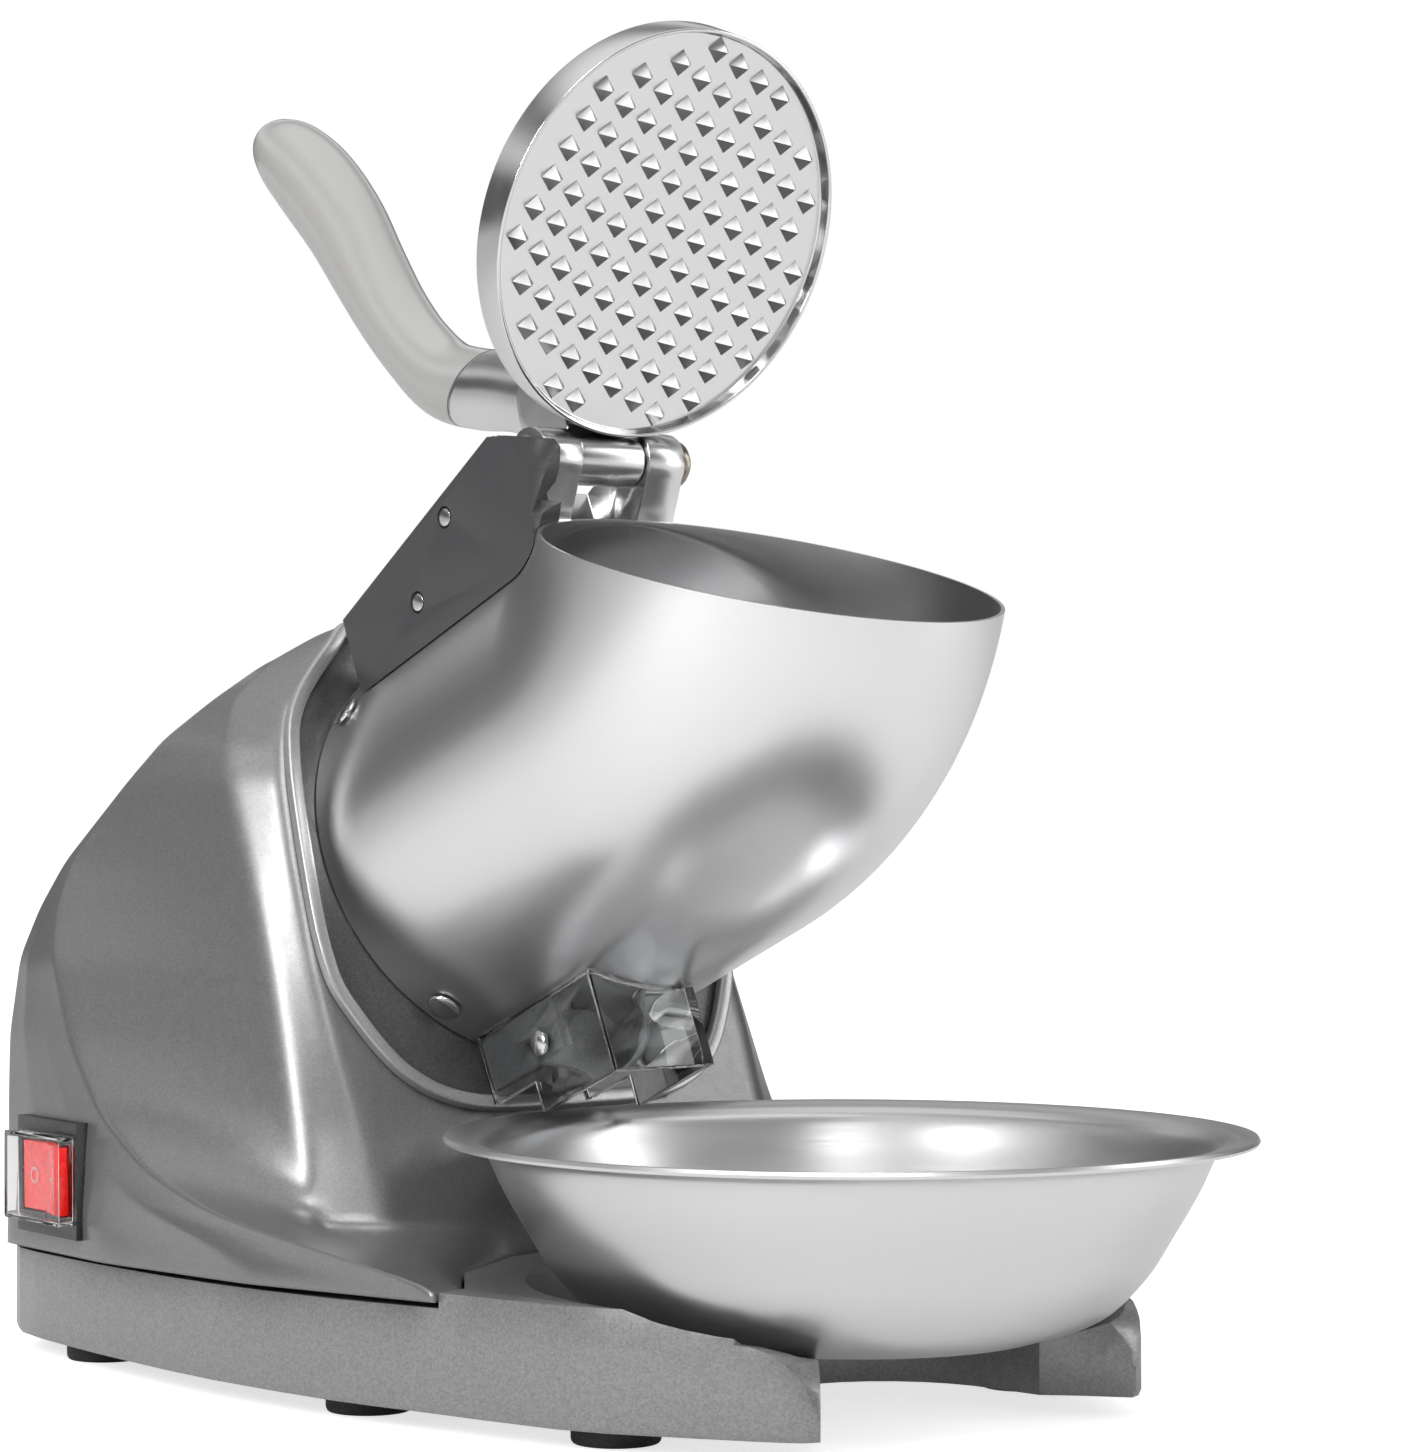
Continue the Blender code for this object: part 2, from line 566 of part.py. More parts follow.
def build_spout(axis, hopper_clearance):
    """Cast spout inside the guard, which leads shaved ice from the window down to the bowl."""
    half = CHUTE_HALF - 3 * MM
    walls = channel(half, 28 * MM, 2 * MM, 3.9 * MM, -82 * MM, -60 * MM)
    spout = new_object("discharge_spout", walls, axis, look=((0.16, 0.17, 0.18), 0.45, 0.5))
    ears = channel(half, 42 * MM, 3.2 * MM, 26 * MM, -81 * MM, -60 * MM)
    boolean(spout, new_object("join_spout_ears", ears, axis), "UNION")
    boolean(spout, hopper_clearance)
    opening = box((2 * half - 6.6 * MM, 60 * MM, 40 * MM), (CHUTE_X, -72 * MM, 48.5 * MM))
    boolean(spout, new_object("cut_spout_front", opening, axis))
    for number, side in enumerate((-1, 1), 1):
        where = (CHUTE_X + side * (CHUTE_HALF + 0.1 * MM), *CHUTE_SCREW)
        hole = rod(1.9 * MM, -12 * MM, 4 * MM, 8)
        boolean(spout, new_object(f"cut_spout_hole_{number}", hole, axis, where, (0, side * radians(90), 0)))


def build_bowl():
    """Spun steel bowl with a wide rolled rim and a flat foot."""
    foot = SEAT_Z / MM + 0.3
    outside = [(0, foot), (58, foot), (75, 31.2), (87, 42.5), (95, 55), (102.5, 68), (107.2, 78), (110.5, 81),
               (119, 82.6)]
    inside = [(110, 82.2), (106.2, 79), (101.5, 68.6), (94, 55.6), (86, 43.2), (74.4, 32.2), (57.8, foot + 1),
              (0, foot + 1)]
    profile = [(r * MM, z * MM) for r, z in outside]
    profile += [(BOWL_RIM_R, BOWL_RIM_Z)]
    profile += [(r * MM, z * MM) for r, z in inside]
    new_object("bowl", turned(profile, 44), location=(0, BOWL_Y, 0), look=((0.62, 0.62, 0.63), 0.25, 1.0))


# ---------------------------------------------------------------- hinge, lid and lever

def to_plate(y, z):
    """World (y, z) as (climb on the plate, height above it)."""
    c, s = cos(radians(DRIVE_TILT)), sin(radians(DRIVE_TILT))
    dy, dz = y - DRIVE_Y, z - DRIVE_Z
    return dy * c + dz * s, -dy * s + dz * c


def build_hinge(axis, hopper_clearance):
    """Cast hinge bracket: a web on the back of the hopper that ends in two lugs for the lid's pin."""
    up, out = to_plate(HINGE_Y, HINGE_Z)
    outline = [(60 * MM, 0.6 * MM), (76 * MM, 0.6 * MM)]
    outline += arc(up, out, LUG_R, -62, 150, 12)
    outline += [(74 * MM, 95 * MM), (60 * MM, 93 * MM)]
    sides = [[(x, u, w) for u, w in outline] for x in (HINGE_X - LUG_OUT, HINGE_X + LUG_OUT)]
    bracket = new_object("hinge_bracket", loft(sides), axis, look=((0.55, 0.55, 0.55), 0.3, 0.9))
    boolean(bracket, hopper_clearance)
    gap_box = box((2 * LUG_IN, 60 * MM, 50 * MM), (HINGE_X, up, out + 1 * MM))
    boolean(bracket, new_object("cut_clevis", gap_box, axis))
    pin_place = dict(location=(HINGE_X, HINGE_Y, HINGE_Z), rotation=(0, radians(90), 0))
    boolean(bracket, new_object("cut_pin_bore", rod(PIN_R + GAP, -60 * MM, 60 * MM, 24), **pin_place))
    pin = [(0, -28.4), (4, -28.4), (4, 28.3), (7.5, 28.3), (7.5, 31.5), (6, 33), (0, 33)]
    new_object("hinge_pin", turned([(r * MM, z * MM) for r, z in pin], 24), **pin_place,
               look=((0.6, 0.6, 0.6), 0.3, 1.0))
    return bracket


def build_switch_box(axis, hopper_clearance):
    """Black cover on the switch side of the hinge; it holds the lid's safety switch."""
    near, far = -52 * MM, HINGE_X - LUG_OUT - 0.4 * MM
    side = [(48, 15), (75.4, 15), (95, 106), (91.5, 114), (77, 120.6), (57, 114.8), (47.2, 109), (30, 102)]
    outline = [(u * MM, w * MM) for u, w in side]
    cover = new_object("switch_box", loft([[(x, u, w) for u, w in outline] for x in (near, far)]), axis,
                       look=((0.04, 0.04, 0.042), 0.5))
    boolean(cover, hopper_clearance)
    hollow = box((15 * MM, 18 * MM, 26 * MM), (-39.5 * MM, 80 * MM, 96 * MM))
    boolean(cover, new_object("cut_switch_room", hollow, axis))
    steel = ((0.7, 0.7, 0.7), 0.25, 1.0)
    for number, (y, z) in enumerate(((33, 269), (47, 243)), 1):
        u, w = to_plate(y * MM - 1 * MM, z * MM)
        spot = (near - 0.1 * MM, u, w)
        turn = Euler((0, radians(-90), 0), "XYZ")
        screw = [(0, -7), (1.5, -7), (1.5, -1.6), (2.8, -1.6), (2.8, -0.3), (0, 0.1)]
        new_object(f"box_screw_{number}", turned([(r * MM, z * MM) for r, z in screw], 16), axis, spot, turn,
                   look=steel)
        well = turned([(0, -9 * MM), (1.9 * MM, -9 * MM), (1.9 * MM, -2 * MM), (3.6 * MM, -2 * MM), (3.6 * MM, 3 * MM),
                       (0, 3 * MM)], 16)
        boolean(cover, new_object(f"cut_box_screw_{number}", well, axis, spot, turn))
    body = box((11 * MM, 9.6 * MM, 20 * MM), (-39.5 * MM, 76.5 * MM, 96 * MM))
    new_object("microswitch", body, axis, look=((0.3, 0.03, 0.03), 0.5))
    plunger_hole = rod(2.0 * MM, -20 * MM, 30 * MM, 16)
    where = (-40 * MM, 88 * MM, 96 * MM)
    lay = Euler((radians(-90), 0, 0), "XYZ")
    boolean(cover, new_object("cut_plunger_hole", plunger_hole, axis, where, lay))
    for degrees in (96, 78, 60):
        path = rod(PLATE_R + 0.9 * MM, -13 * MM, 1 * MM, 48)
        hinge = Vector((0, HINGE_Y, HINGE_Z))
        arm = Matrix.Rotation(radians(degrees), 4, "X") @ Vector((0, PLATE_Y - HINGE_Y, PLATE_Z - HINGE_Z))
        lean = (radians(degrees + 90 + PLATE_LEAN), 0, 0)
        boolean(cover, new_object(f"cut_plate_path_{degrees}", path, None, hinge + arm, lean))
    pin = [(0, -2.6), (3.2, -2.6), (3.2, -1.2), (1.6, -1.2), (1.6, 10.5), (2.2, 10.9), (2.2, 12.4), (0, 12.9)]
    new_object("safety_plunger", turned([(r * MM, z * MM) for r, z in pin], 16), axis, where, lay, look=steel)


def lid_frame():
    """Empty on the hinge axis that carries everything that swings with the lid."""
    return frame("lid_hinge", (0, HINGE_Y, HINGE_Z))


def build_lid(lid):
    """Press plate, its lever arm with the hub, and the moulded grip."""
    plate = [(0, 0), (PLATE_R - 1.2 * MM, 0), (PLATE_R, 1.2 * MM), (PLATE_R, PLATE_THICK - 1.5 * MM),
             (PLATE_R - 1.5 * MM, PLATE_THICK), (54 * MM, PLATE_THICK), (50 * MM, 7 * MM), (0, 7 * MM)]
    where = (0, PLATE_Y - HINGE_Y, PLATE_Z - HINGE_Z)
    tilt = radians(90 - PLATE_LEAN)
    new_object("press_plate", turned(plate, 48), lid, where, (-tilt, 0, 0), look=((0.7, 0.7, 0.7), 0.2, 1.0))

    # Side view in millimetres from the hinge, y towards the back; the pad lies along the plate's back
    lean = radians(PLATE_LEAN)
    foot_y = (PLATE_Y - HINGE_Y) / MM + PLATE_R / MM * sin(lean) + 13.4 * cos(lean)
    foot_z = (PLATE_Z - HINGE_Z) / MM - PLATE_R / MM * cos(lean) + 13.4 * sin(lean)
    pad_y, pad_z = foot_y - 46 * sin(lean), foot_z + 46 * cos(lean)
    arm = [(9, -3), (18, 3), (28, 8), (45, 12), (66, 15), (73, 16), (57, 38), (36, 36), (18, 36), (8, 42),
           (pad_y + 7 * cos(lean), pad_z + 7 * sin(lean)), (pad_y, pad_z), (foot_y, foot_z)]
    outline = [(y * MM, z * MM) for y, z in arm] + arc(0, 0, HUB_R, 75, 335, 12)
    arm_shape = slab(outline, HINGE_X - HUB_HALF, HINGE_X + HUB_HALF)
    lever = new_object("lever_arm", arm_shape, lid, look=((0.55, 0.55, 0.55), 0.3, 0.9))
    bore = new_object("cut_hub_bore", rod(PIN_R + GAP, -60 * MM, 60 * MM, 24), lid, rotation=(0, radians(90), 0))
    boolean(lever, bore)
    build_grip(lid)


def build_grip(lid):
    """Moulded grip: oval sections swept along an S-shaped line up and back from the arm."""
    # Each station: middle y and z from the hinge, half height and half width, in millimetres
    stations = [(46, 25, 13.4, 12.5), (65.6, 27, 13.4, 12.5), (84, 31.5, 13.4, 12.6), (101, 43, 12.6, 12.6), (115, 56, 12.8, 12.8),
                (128, 71, 14, 13), (142, 88, 15.4, 13.5), (158, 103, 15.6, 13.8), (172, 113.5, 13.8, 13),
                (182, 119.5, 9.6, 10), (187, 122, 5, 6)]
    line = curve_through(stations, 2)
    sections = []
    for before, here, after in zip(line[:1] + line[:-1], line, line[1:] + line[-1:]):
        along = Vector((after[0] - before[0], after[1] - before[1])).normalized()
        section = []
        for k in range(16):
            t = 2 * pi * k / 16
            lift = here[2] * sin(t)
            section.append((here[3] * MM * cos(t), (here[0] - along.y * lift) * MM, (here[1] + along.x * lift) * MM))
        sections.append(section)
    grip = new_object("grip", loft(sections), lid, look=((0.55, 0.55, 0.54), 0.25))
    joint = [(84, 1.7), (46.8, 52.9), (10, 30), (40, -20)]
    trim = slab([(y * MM, z * MM) for y, z in joint], -30 * MM, 30 * MM)
    boolean(grip, new_object("cut_grip_joint", trim, lid))


# ---------------------------------------------------------------- mains switch and cord inlet

def build_mains_switch(shell):
    """Rocker switch on the switch side: frame, red rocker on an upright pivot, and a clear boot.

    The empty's Z points out of the wall, its Y up and its X to the machine's front.
    """
    mount = frame("switch_mount", SWITCH_SPOT, (radians(90), 0, radians(-90) - SWITCH_YAW))
    recess = new_object("cut_switch_recess", box((42.8 * MM, 37.8 * MM, 20 * MM), (0, 0, 8.4 * MM)), mount)
    boolean(shell, recess)
    boolean(shell, new_object("cut_switch_hole", box((37 * MM, 27 * MM, 40 * MM)), mount))

    bezel = new_object("switch_frame", box((42 * MM, 37 * MM, 6.7 * MM), (0, 0, 2.15 * MM)), mount,
                       look=((0.02, 0.02, 0.02), 0.4))
    body = new_object("join_switch_body", box((36.4 * MM, 26.4 * MM, 18 * MM), (0, 0, -8 * MM)), mount)
    boolean(bezel, body, "UNION")
    boolean(bezel, new_object("cut_rocker_room", box((34 * MM, 23 * MM, 20 * MM), (0, 0, 11 * MM)), mount))
    across = (radians(90), 0, 0)
    pivot = (0, 0, ROCKER_PIVOT)
    boolean(bezel, new_object("cut_trunnion_seats", rod(1.6 * MM, -14 * MM, 14 * MM, 12), mount, pivot, across))

    side = [(-15, 0), (-3, -2), (3, -2), (15, 0), (15, 3.6), (0, 1.6), (-15, 3.6)]
    tilted = []
    for x, z in side:
        tilted.append(((x * cos(ROCKER_TILT) - z * sin(ROCKER_TILT)) * MM,
                       (z * cos(ROCKER_TILT) + x * sin(ROCKER_TILT)) * MM))
    shape = loft([[(x, y, z) for x, z in tilted] for y in (-10.8 * MM, 10.8 * MM)])
    rocker = new_object("rocker", shape, mount, pivot, look=((0.55, 0.01, 0.01), 0.3))
    trunnions = new_object("join_trunnions", rod(1.2 * MM, -13.4 * MM, 13.4 * MM, 12), mount, pivot, across)
    boolean(rocker, trunnions, "UNION")

    boot = new_object("switch_boot", box((39 * MM, 28 * MM, 5.4 * MM), (0, 0, 8.5 * MM)), mount,
                      look=((0.85, 0.8, 0.8), 0.1))
    boolean(boot, new_object("cut_boot", box((36.6 * MM, 25.6 * MM, 20 * MM), (0, 0, 0.2 * MM)), mount))


def build_cord_gland(shell):
    """Moulded bush in the back wall where the mains lead enters; no lead is fitted."""
    mount = frame("gland_mount", (0, 217 * MM, 60 * MM), (radians(-90), 0, 0))
    boolean(shell, new_object("cut_gland_hole", rod(6.9 * MM, -15 * MM, 5 * MM, 24), mount))
    profile = [(6.5, -7), (6.5, 0.4), (9.5, 0.4), (9.5, 2), (8, 3), (3.6, 3), (3.6, -7)]
    new_object("cord_gland", turned([(r * MM, z * MM) for r, z in profile], 24), mount,
               look=((0.02, 0.02, 0.02), 0.6))


def main():
    """Clears the scene and builds every piece."""
    for obj in list(bpy.data.objects):
        bpy.data.objects.remove(obj)
    axis = frame("drive_axis", (0, DRIVE_Y, DRIVE_Z), (radians(DRIVE_TILT), 0, 0))
    tray = build_base()
    plate = build_bottom_plate()
    build_feet(tray, plate)
    shell = build_housing()
    front = build_front(axis, shell)
    build_hopper(axis, front)
    build_cutter(axis)
    build_motor(axis)
    clearance = build_clearance(axis)
    build_guard(axis, clearance)
    build_spout(axis, clearance)
    build_bowl()
    build_hinge(axis, clearance)
    build_switch_box(axis, clearance)
    build_lid(lid_frame())
    build_mains_switch(shell)
    build_cord_gland(shell)


main()
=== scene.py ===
"""Electric ice shaver: the finished look of every piece on the fixed frame, in assembly order."""

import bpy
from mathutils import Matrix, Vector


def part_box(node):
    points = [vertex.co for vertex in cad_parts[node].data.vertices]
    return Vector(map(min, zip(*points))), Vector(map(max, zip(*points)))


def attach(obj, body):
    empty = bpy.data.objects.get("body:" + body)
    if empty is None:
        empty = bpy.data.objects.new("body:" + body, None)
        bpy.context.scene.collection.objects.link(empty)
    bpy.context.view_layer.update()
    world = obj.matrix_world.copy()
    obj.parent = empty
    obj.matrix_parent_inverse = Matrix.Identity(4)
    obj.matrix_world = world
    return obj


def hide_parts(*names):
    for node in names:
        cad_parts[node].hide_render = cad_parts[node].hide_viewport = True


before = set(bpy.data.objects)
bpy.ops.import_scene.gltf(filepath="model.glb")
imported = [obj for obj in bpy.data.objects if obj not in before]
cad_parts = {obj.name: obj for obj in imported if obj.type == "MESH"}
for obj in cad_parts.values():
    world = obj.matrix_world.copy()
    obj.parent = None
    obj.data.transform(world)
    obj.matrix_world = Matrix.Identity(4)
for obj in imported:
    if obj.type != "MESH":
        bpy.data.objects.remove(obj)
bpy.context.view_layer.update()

from math import cos, pi, radians, sin

import bmesh
import bpy
import numpy as np


# ---------------------------------------------------------------- Base casting
# Die-cast aluminium tray with two front prongs and a round dish for the bowl.
# It is sprayed a light metallic silver; the casting's edges are rounded over.

def effect(name, inputs, outputs):
    """Empty shader node group with named float, colour or vector sockets, and its two end nodes."""
    group = bpy.data.node_groups.new(name, "ShaderNodeTree")
    kinds = {"f": "NodeSocketFloat", "c": "NodeSocketColor", "v": "NodeSocketVector"}
    for label, kind in inputs:
        group.interface.new_socket(label, in_out="INPUT", socket_type=kinds[kind])
    for label, kind in outputs:
        group.interface.new_socket(label, in_out="OUTPUT", socket_type=kinds[kind])
    return group, group.nodes.new("NodeGroupInput"), group.nodes.new("NodeGroupOutput")


def make_grain():
    """Uneven roughness between two values and a fine height, both from layered noise."""
    group, start, end = effect("Grain", [("Vector", "v"), ("Scale", "f"), ("Low", "f"), ("High", "f")],
                               [("Roughness", "f"), ("Height", "f")])
    noise = group.nodes.new("ShaderNodeTexNoise")
    noise.inputs["Detail"].default_value = 5
    group.links.new(start.outputs["Vector"], noise.inputs["Vector"])
    group.links.new(start.outputs["Scale"], noise.inputs["Scale"])
    spread = group.nodes.new("ShaderNodeMapRange")
    spread.inputs["From Min"].default_value = 0.35
    spread.inputs["From Max"].default_value = 0.65
    group.links.new(noise.outputs["Fac"], spread.inputs["Value"])
    group.links.new(start.outputs["Low"], spread.inputs["To Min"])
    group.links.new(start.outputs["High"], spread.inputs["To Max"])
    group.links.new(spread.outputs["Result"], end.inputs["Roughness"])
    group.links.new(noise.outputs["Fac"], end.inputs["Height"])
    return group


def make_flake():
    """Metal flakes: every small cell of a cell pattern gets its own shade between two colours."""
    group, start, end = effect("Flake", [("Vector", "v"), ("Scale", "f"), ("Dark", "c"), ("Light", "c")],
                               [("Color", "c"), ("Height", "f")])
    cells = group.nodes.new("ShaderNodeTexVoronoi")
    group.links.new(start.outputs["Vector"], cells.inputs["Vector"])
    group.links.new(start.outputs["Scale"], cells.inputs["Scale"])
    split = group.nodes.new("ShaderNodeSeparateColor")
    group.links.new(cells.outputs["Color"], split.inputs["Color"])
    mix = group.nodes.new("ShaderNodeMix")
    mix.data_type = "RGBA"
    group.links.new(split.outputs["Red"], mix.inputs["Factor"])
    group.links.new(start.outputs["Dark"], mix.inputs["A"])
    group.links.new(start.outputs["Light"], mix.inputs["B"])
    group.links.new(mix.outputs["Result"], end.inputs["Color"])
    group.links.new(split.outputs["Green"], end.inputs["Height"])
    return group


GRAIN = make_grain()
FLAKE = make_flake()


def blank(name, color, metallic):
    """New material: its tree, its Principled node and a socket with the object's own coordinates."""
    made = bpy.data.materials.new(name)
    made.use_nodes = True
    tree = made.node_tree
    shader = tree.nodes["Principled BSDF"]
    shader.inputs["Base Color"].default_value = (*color, 1.0)
    shader.inputs["Metallic"].default_value = metallic
    spot = tree.nodes.new("ShaderNodeTexCoord").outputs["Object"]
    return made, tree, shader, spot


def use(tree, group, **values):
    """Puts a node group into a tree; sockets are linked and plain values are set."""
    node = tree.nodes.new("ShaderNodeGroup")
    node.node_tree = group
    for label, value in values.items():
        if isinstance(value, bpy.types.NodeSocket):
            tree.links.new(value, node.inputs[label])
        else:
            node.inputs[label].default_value = value
    return node


def emboss(tree, shader, height, strength, distance):
    """Small relief from a height value, joined to the shader's normal."""
    bump = tree.nodes.new("ShaderNodeBump")
    bump.inputs["Strength"].default_value = strength
    bump.inputs["Distance"].default_value = distance
    tree.links.new(height, bump.inputs["Height"])
    tree.links.new(bump.outputs["Normal"], shader.inputs["Normal"])


def flake_paint(name, dark, light, metallic, rough, coat, scale):
    """Metallic spray paint under a clear coat, with a faint orange-peel surface."""
    made, tree, shader, spot = blank(name, light, metallic)
    flakes = use(tree, FLAKE, Vector=spot, Scale=scale, Dark=(*dark, 1.0), Light=(*light, 1.0))
    tree.links.new(flakes.outputs["Color"], shader.inputs["Base Color"])
    peel = use(tree, GRAIN, Vector=spot, Scale=260.0, Low=rough * 0.94, High=rough * 1.07)
    tree.links.new(peel.outputs["Roughness"], shader.inputs["Roughness"])
    shader.inputs["Coat Weight"].default_value = coat
    shader.inputs["Coat Roughness"].default_value = 0.22
    emboss(tree, shader, flakes.outputs["Height"], 0.05, 0.00003)
    return made


def dress(node, look, edge=0.0, segments=3):
    """Gives a frame piece its material and, if asked, rounds its sharp edges."""
    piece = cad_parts[node]
    piece.data.materials.clear()
    piece.data.materials.append(look)
    piece.data.shade_smooth()
    if edge:
        weld = piece.modifiers.new("Join seams", "WELD")
        weld.merge_threshold = 0.00002
        bevel = piece.modifiers.new("Rounded edges", "BEVEL")
        bevel.width = edge
        bevel.segments = segments
        bevel.limit_method = "ANGLE"
        bevel.angle_limit = radians(34)
        bevel.harden_normals = True
    return piece


base_silver = flake_paint("base silver", (0.215, 0.215, 0.215), (0.3, 0.3, 0.3), 0.5, 0.36, 0.35, 1700.0)
dress("base_tray", base_silver, 0.0011)
BOWL_Y = -0.098                      # middle of the round dish and of the bowl


# ---------------------------------------------------------------- Bottom plate, feet and their screws
# A pressed black steel plate closes the base; six moulded rubber feet stand on screws from below.
# The feet have a rounded tread edge and a cone-shaped side, as moulded rubber feet do.

def surface(name, grid, body, look, caps=(False, False), ring=False, sharp=40):
    """Mesh over rows of points, each row a closed loop, with fans over either end or the last row joined to
    the first; faces are turned outwards and shaded smooth but for sharp folds."""
    rows, columns = grid.shape[:2]
    i = np.arange(rows if ring else rows - 1)[:, None]
    j = np.arange(columns)[None, :]
    below, above, beside = i * columns, (i + 1) % rows * columns, (j + 1) % columns
    faces = np.stack([below + j, below + beside, above + beside, above + j], axis=-1).reshape(-1, 4).tolist()
    points = grid.reshape(-1, 3)
    for wanted, row in ((caps[0], 0), (caps[1], rows - 1)):
        if wanted:
            centre = len(points)
            points = np.vstack([points, grid[row].mean(axis=0)])
            edge = row * columns + np.arange(columns)
            faces += np.stack([edge, np.roll(edge, -1), np.full(columns, centre)], axis=-1).tolist()
    mesh = bpy.data.meshes.new(name)
    mesh.from_pydata(points.tolist(), [], faces)
    mesh.validate()
    work = bmesh.new()
    work.from_mesh(mesh)
    bmesh.ops.recalc_face_normals(work, faces=work.faces)
    work.to_mesh(mesh)
    work.free()
    mesh.shade_smooth()
    mesh.set_sharp_from_angle(angle=radians(sharp))
    mesh.materials.append(look)
    piece = bpy.data.objects.new(name, mesh)
    bpy.context.scene.collection.objects.link(piece)
    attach(piece, body)
    return piece


def rounded(points, radius, steps=4):
    """A line of points with each inner corner replaced by a short parabola that starts and ends a radius
    away from the corner, or less on short stretches."""
    p = np.array(points, float)
    before, after = p[1:-1] - p[:-2], p[2:] - p[1:-1]
    long_before = np.linalg.norm(before, axis=1, keepdims=True)
    long_after = np.linalg.norm(after, axis=1, keepdims=True)
    r = np.minimum(radius, 0.45 * np.minimum(long_before, long_after))
    a, b = p[1:-1] - before / long_before * r, p[1:-1] + after / long_after * r
    t = np.linspace(0, 1, steps + 1)[None, :, None]
    bends = (1 - t) ** 2 * a[:, None] + 2 * t * (1 - t) * p[1:-1][:, None] + t ** 2 * b[:, None]
    return np.vstack([p[:1], bends.reshape(-1, p.shape[1]), p[-1:]])


def spun(profile, centre, axis_x, axis_y, axis_z, steps):
    """Rows of points: centre + r (cos t axis_x + sin t axis_y) + h axis_z, one row for each (r, h)."""
    profile = np.asarray(profile)
    turn = np.linspace(0, 2 * pi, steps, endpoint=False)
    around = np.cos(turn)[:, None] * np.asarray(axis_x) + np.sin(turn)[:, None] * np.asarray(axis_y)
    return (np.asarray(centre) + profile[:, 0][:, None, None] * around[None]
            + profile[:, 1][:, None, None] * np.asarray(axis_z))


X, Y, Z = np.eye(3)


def moulded(name, color, rough, bump=0.08, scale=900.0, coat=0.0):
    """Plastic or rubber: one colour with uneven gloss and a very fine surface."""
    made, tree, shader, spot = blank(name, color, 0.0)
    grain = use(tree, GRAIN, Vector=spot, Scale=scale, Low=rough * 0.85, High=min(1.0, rough * 1.2))
    tree.links.new(grain.outputs["Roughness"], shader.inputs["Roughness"])
    shader.inputs["Coat Weight"].default_value = coat
    shader.inputs["Coat Roughness"].default_value = 0.08
    emboss(tree, shader, grain.outputs["Height"], bump, 0.0003)
    return made


def make_brushed():
    """Straight brushing: noise drawn out by a stretch for each axis gives fine lines and their roughness."""
    group, start, end = effect("Brushed", [("Vector", "v"), ("Stretch", "v"), ("Low", "f"), ("High", "f")],
                               [("Roughness", "f"), ("Height", "f")])
    drawn = group.nodes.new("ShaderNodeVectorMath")
    drawn.operation = "MULTIPLY"
    group.links.new(start.outputs["Vector"], drawn.inputs[0])
    group.links.new(start.outputs["Stretch"], drawn.inputs[1])
    noise = group.nodes.new("ShaderNodeTexNoise")
    noise.inputs["Scale"].default_value = 1.0
    noise.inputs["Detail"].default_value = 3
    group.links.new(drawn.outputs["Vector"], noise.inputs["Vector"])
    spread = group.nodes.new("ShaderNodeMapRange")
    spread.inputs["From Min"].default_value = 0.3
    spread.inputs["From Max"].default_value = 0.7
    group.links.new(noise.outputs["Fac"], spread.inputs["Value"])
    group.links.new(start.outputs["Low"], spread.inputs["To Min"])
    group.links.new(start.outputs["High"], spread.inputs["To Max"])
    group.links.new(spread.outputs["Result"], end.inputs["Roughness"])
    group.links.new(noise.outputs["Fac"], end.inputs["Height"])
    return group


BRUSHED = make_brushed()


def metal(name, color, low, high, stretch, bump=0.05):
    """Bare metal whose finish runs along the axis with the smallest stretch."""
    made, tree, shader, spot = blank(name, color, 1.0)
    lines = use(tree, BRUSHED, Vector=spot, Stretch=stretch, Low=low, High=high)
    tree.links.new(lines.outputs["Roughness"], shader.inputs["Roughness"])
    emboss(tree, shader, lines.outputs["Height"], bump, 0.0002)
    return made


black_steel = flake_paint("black steel", (0.03, 0.03, 0.03), (0.05, 0.05, 0.05), 0.2, 0.5, 0.0, 2500.0)
rubber = moulded("black rubber", (0.018, 0.018, 0.018), 0.62, 0.2, 1400.0)
screw_steel = metal("screw steel", (0.66, 0.66, 0.66), 0.16, 0.28, (300.0, 300.0, 300.0))
dress("bottom_plate", black_steel, 0.0005, 2)
for number in range(1, 7):
    low, high = (np.array(corner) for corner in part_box(f"foot_{number}"))
    middle = (low + high) / 2 * (1, 1, 0)
    foot = rounded([(0.0023, 0.0057), (0.0023, 0.003), (0.0055, 0.003), (0.0055, 0), (0.0124, 0),
                    (0.013, 0.0012), (0.013, 0.0057), (0.0023, 0.0057)], 0.0006, 3)
    tread = surface(f"rubber_foot_{number}", spun(foot[:-1], middle, X, Y, Z, 40), "machine", rubber,
                    ring=True)
    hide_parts(f"foot_{number}")
    dress(f"foot_screw_{number}", screw_steel)


# ---------------------------------------------------------------- Housing
# One aluminium casting: low fenders round the bowl, a ridge either side of the sloped front, rounded back.
# It is sprayed mid-grey metallic; the folds of the casting are blended into each other.

TILT_COS, TILT_SIN = cos(radians(66.5)), sin(radians(66.5))
DRIVE_Y, DRIVE_Z = 0.0696, 0.1633    # where the motor's axis meets the front plate


def on_drive(x, climb, out):
    """Points given across, up the front plate and out along the motor's axis, turned into the row frame."""
    x, climb, out = np.broadcast_arrays(x, climb, out)
    return np.stack([x, DRIVE_Y - TILT_SIN * out + TILT_COS * climb,
                     DRIVE_Z + TILT_COS * out + TILT_SIN * climb], axis=-1)


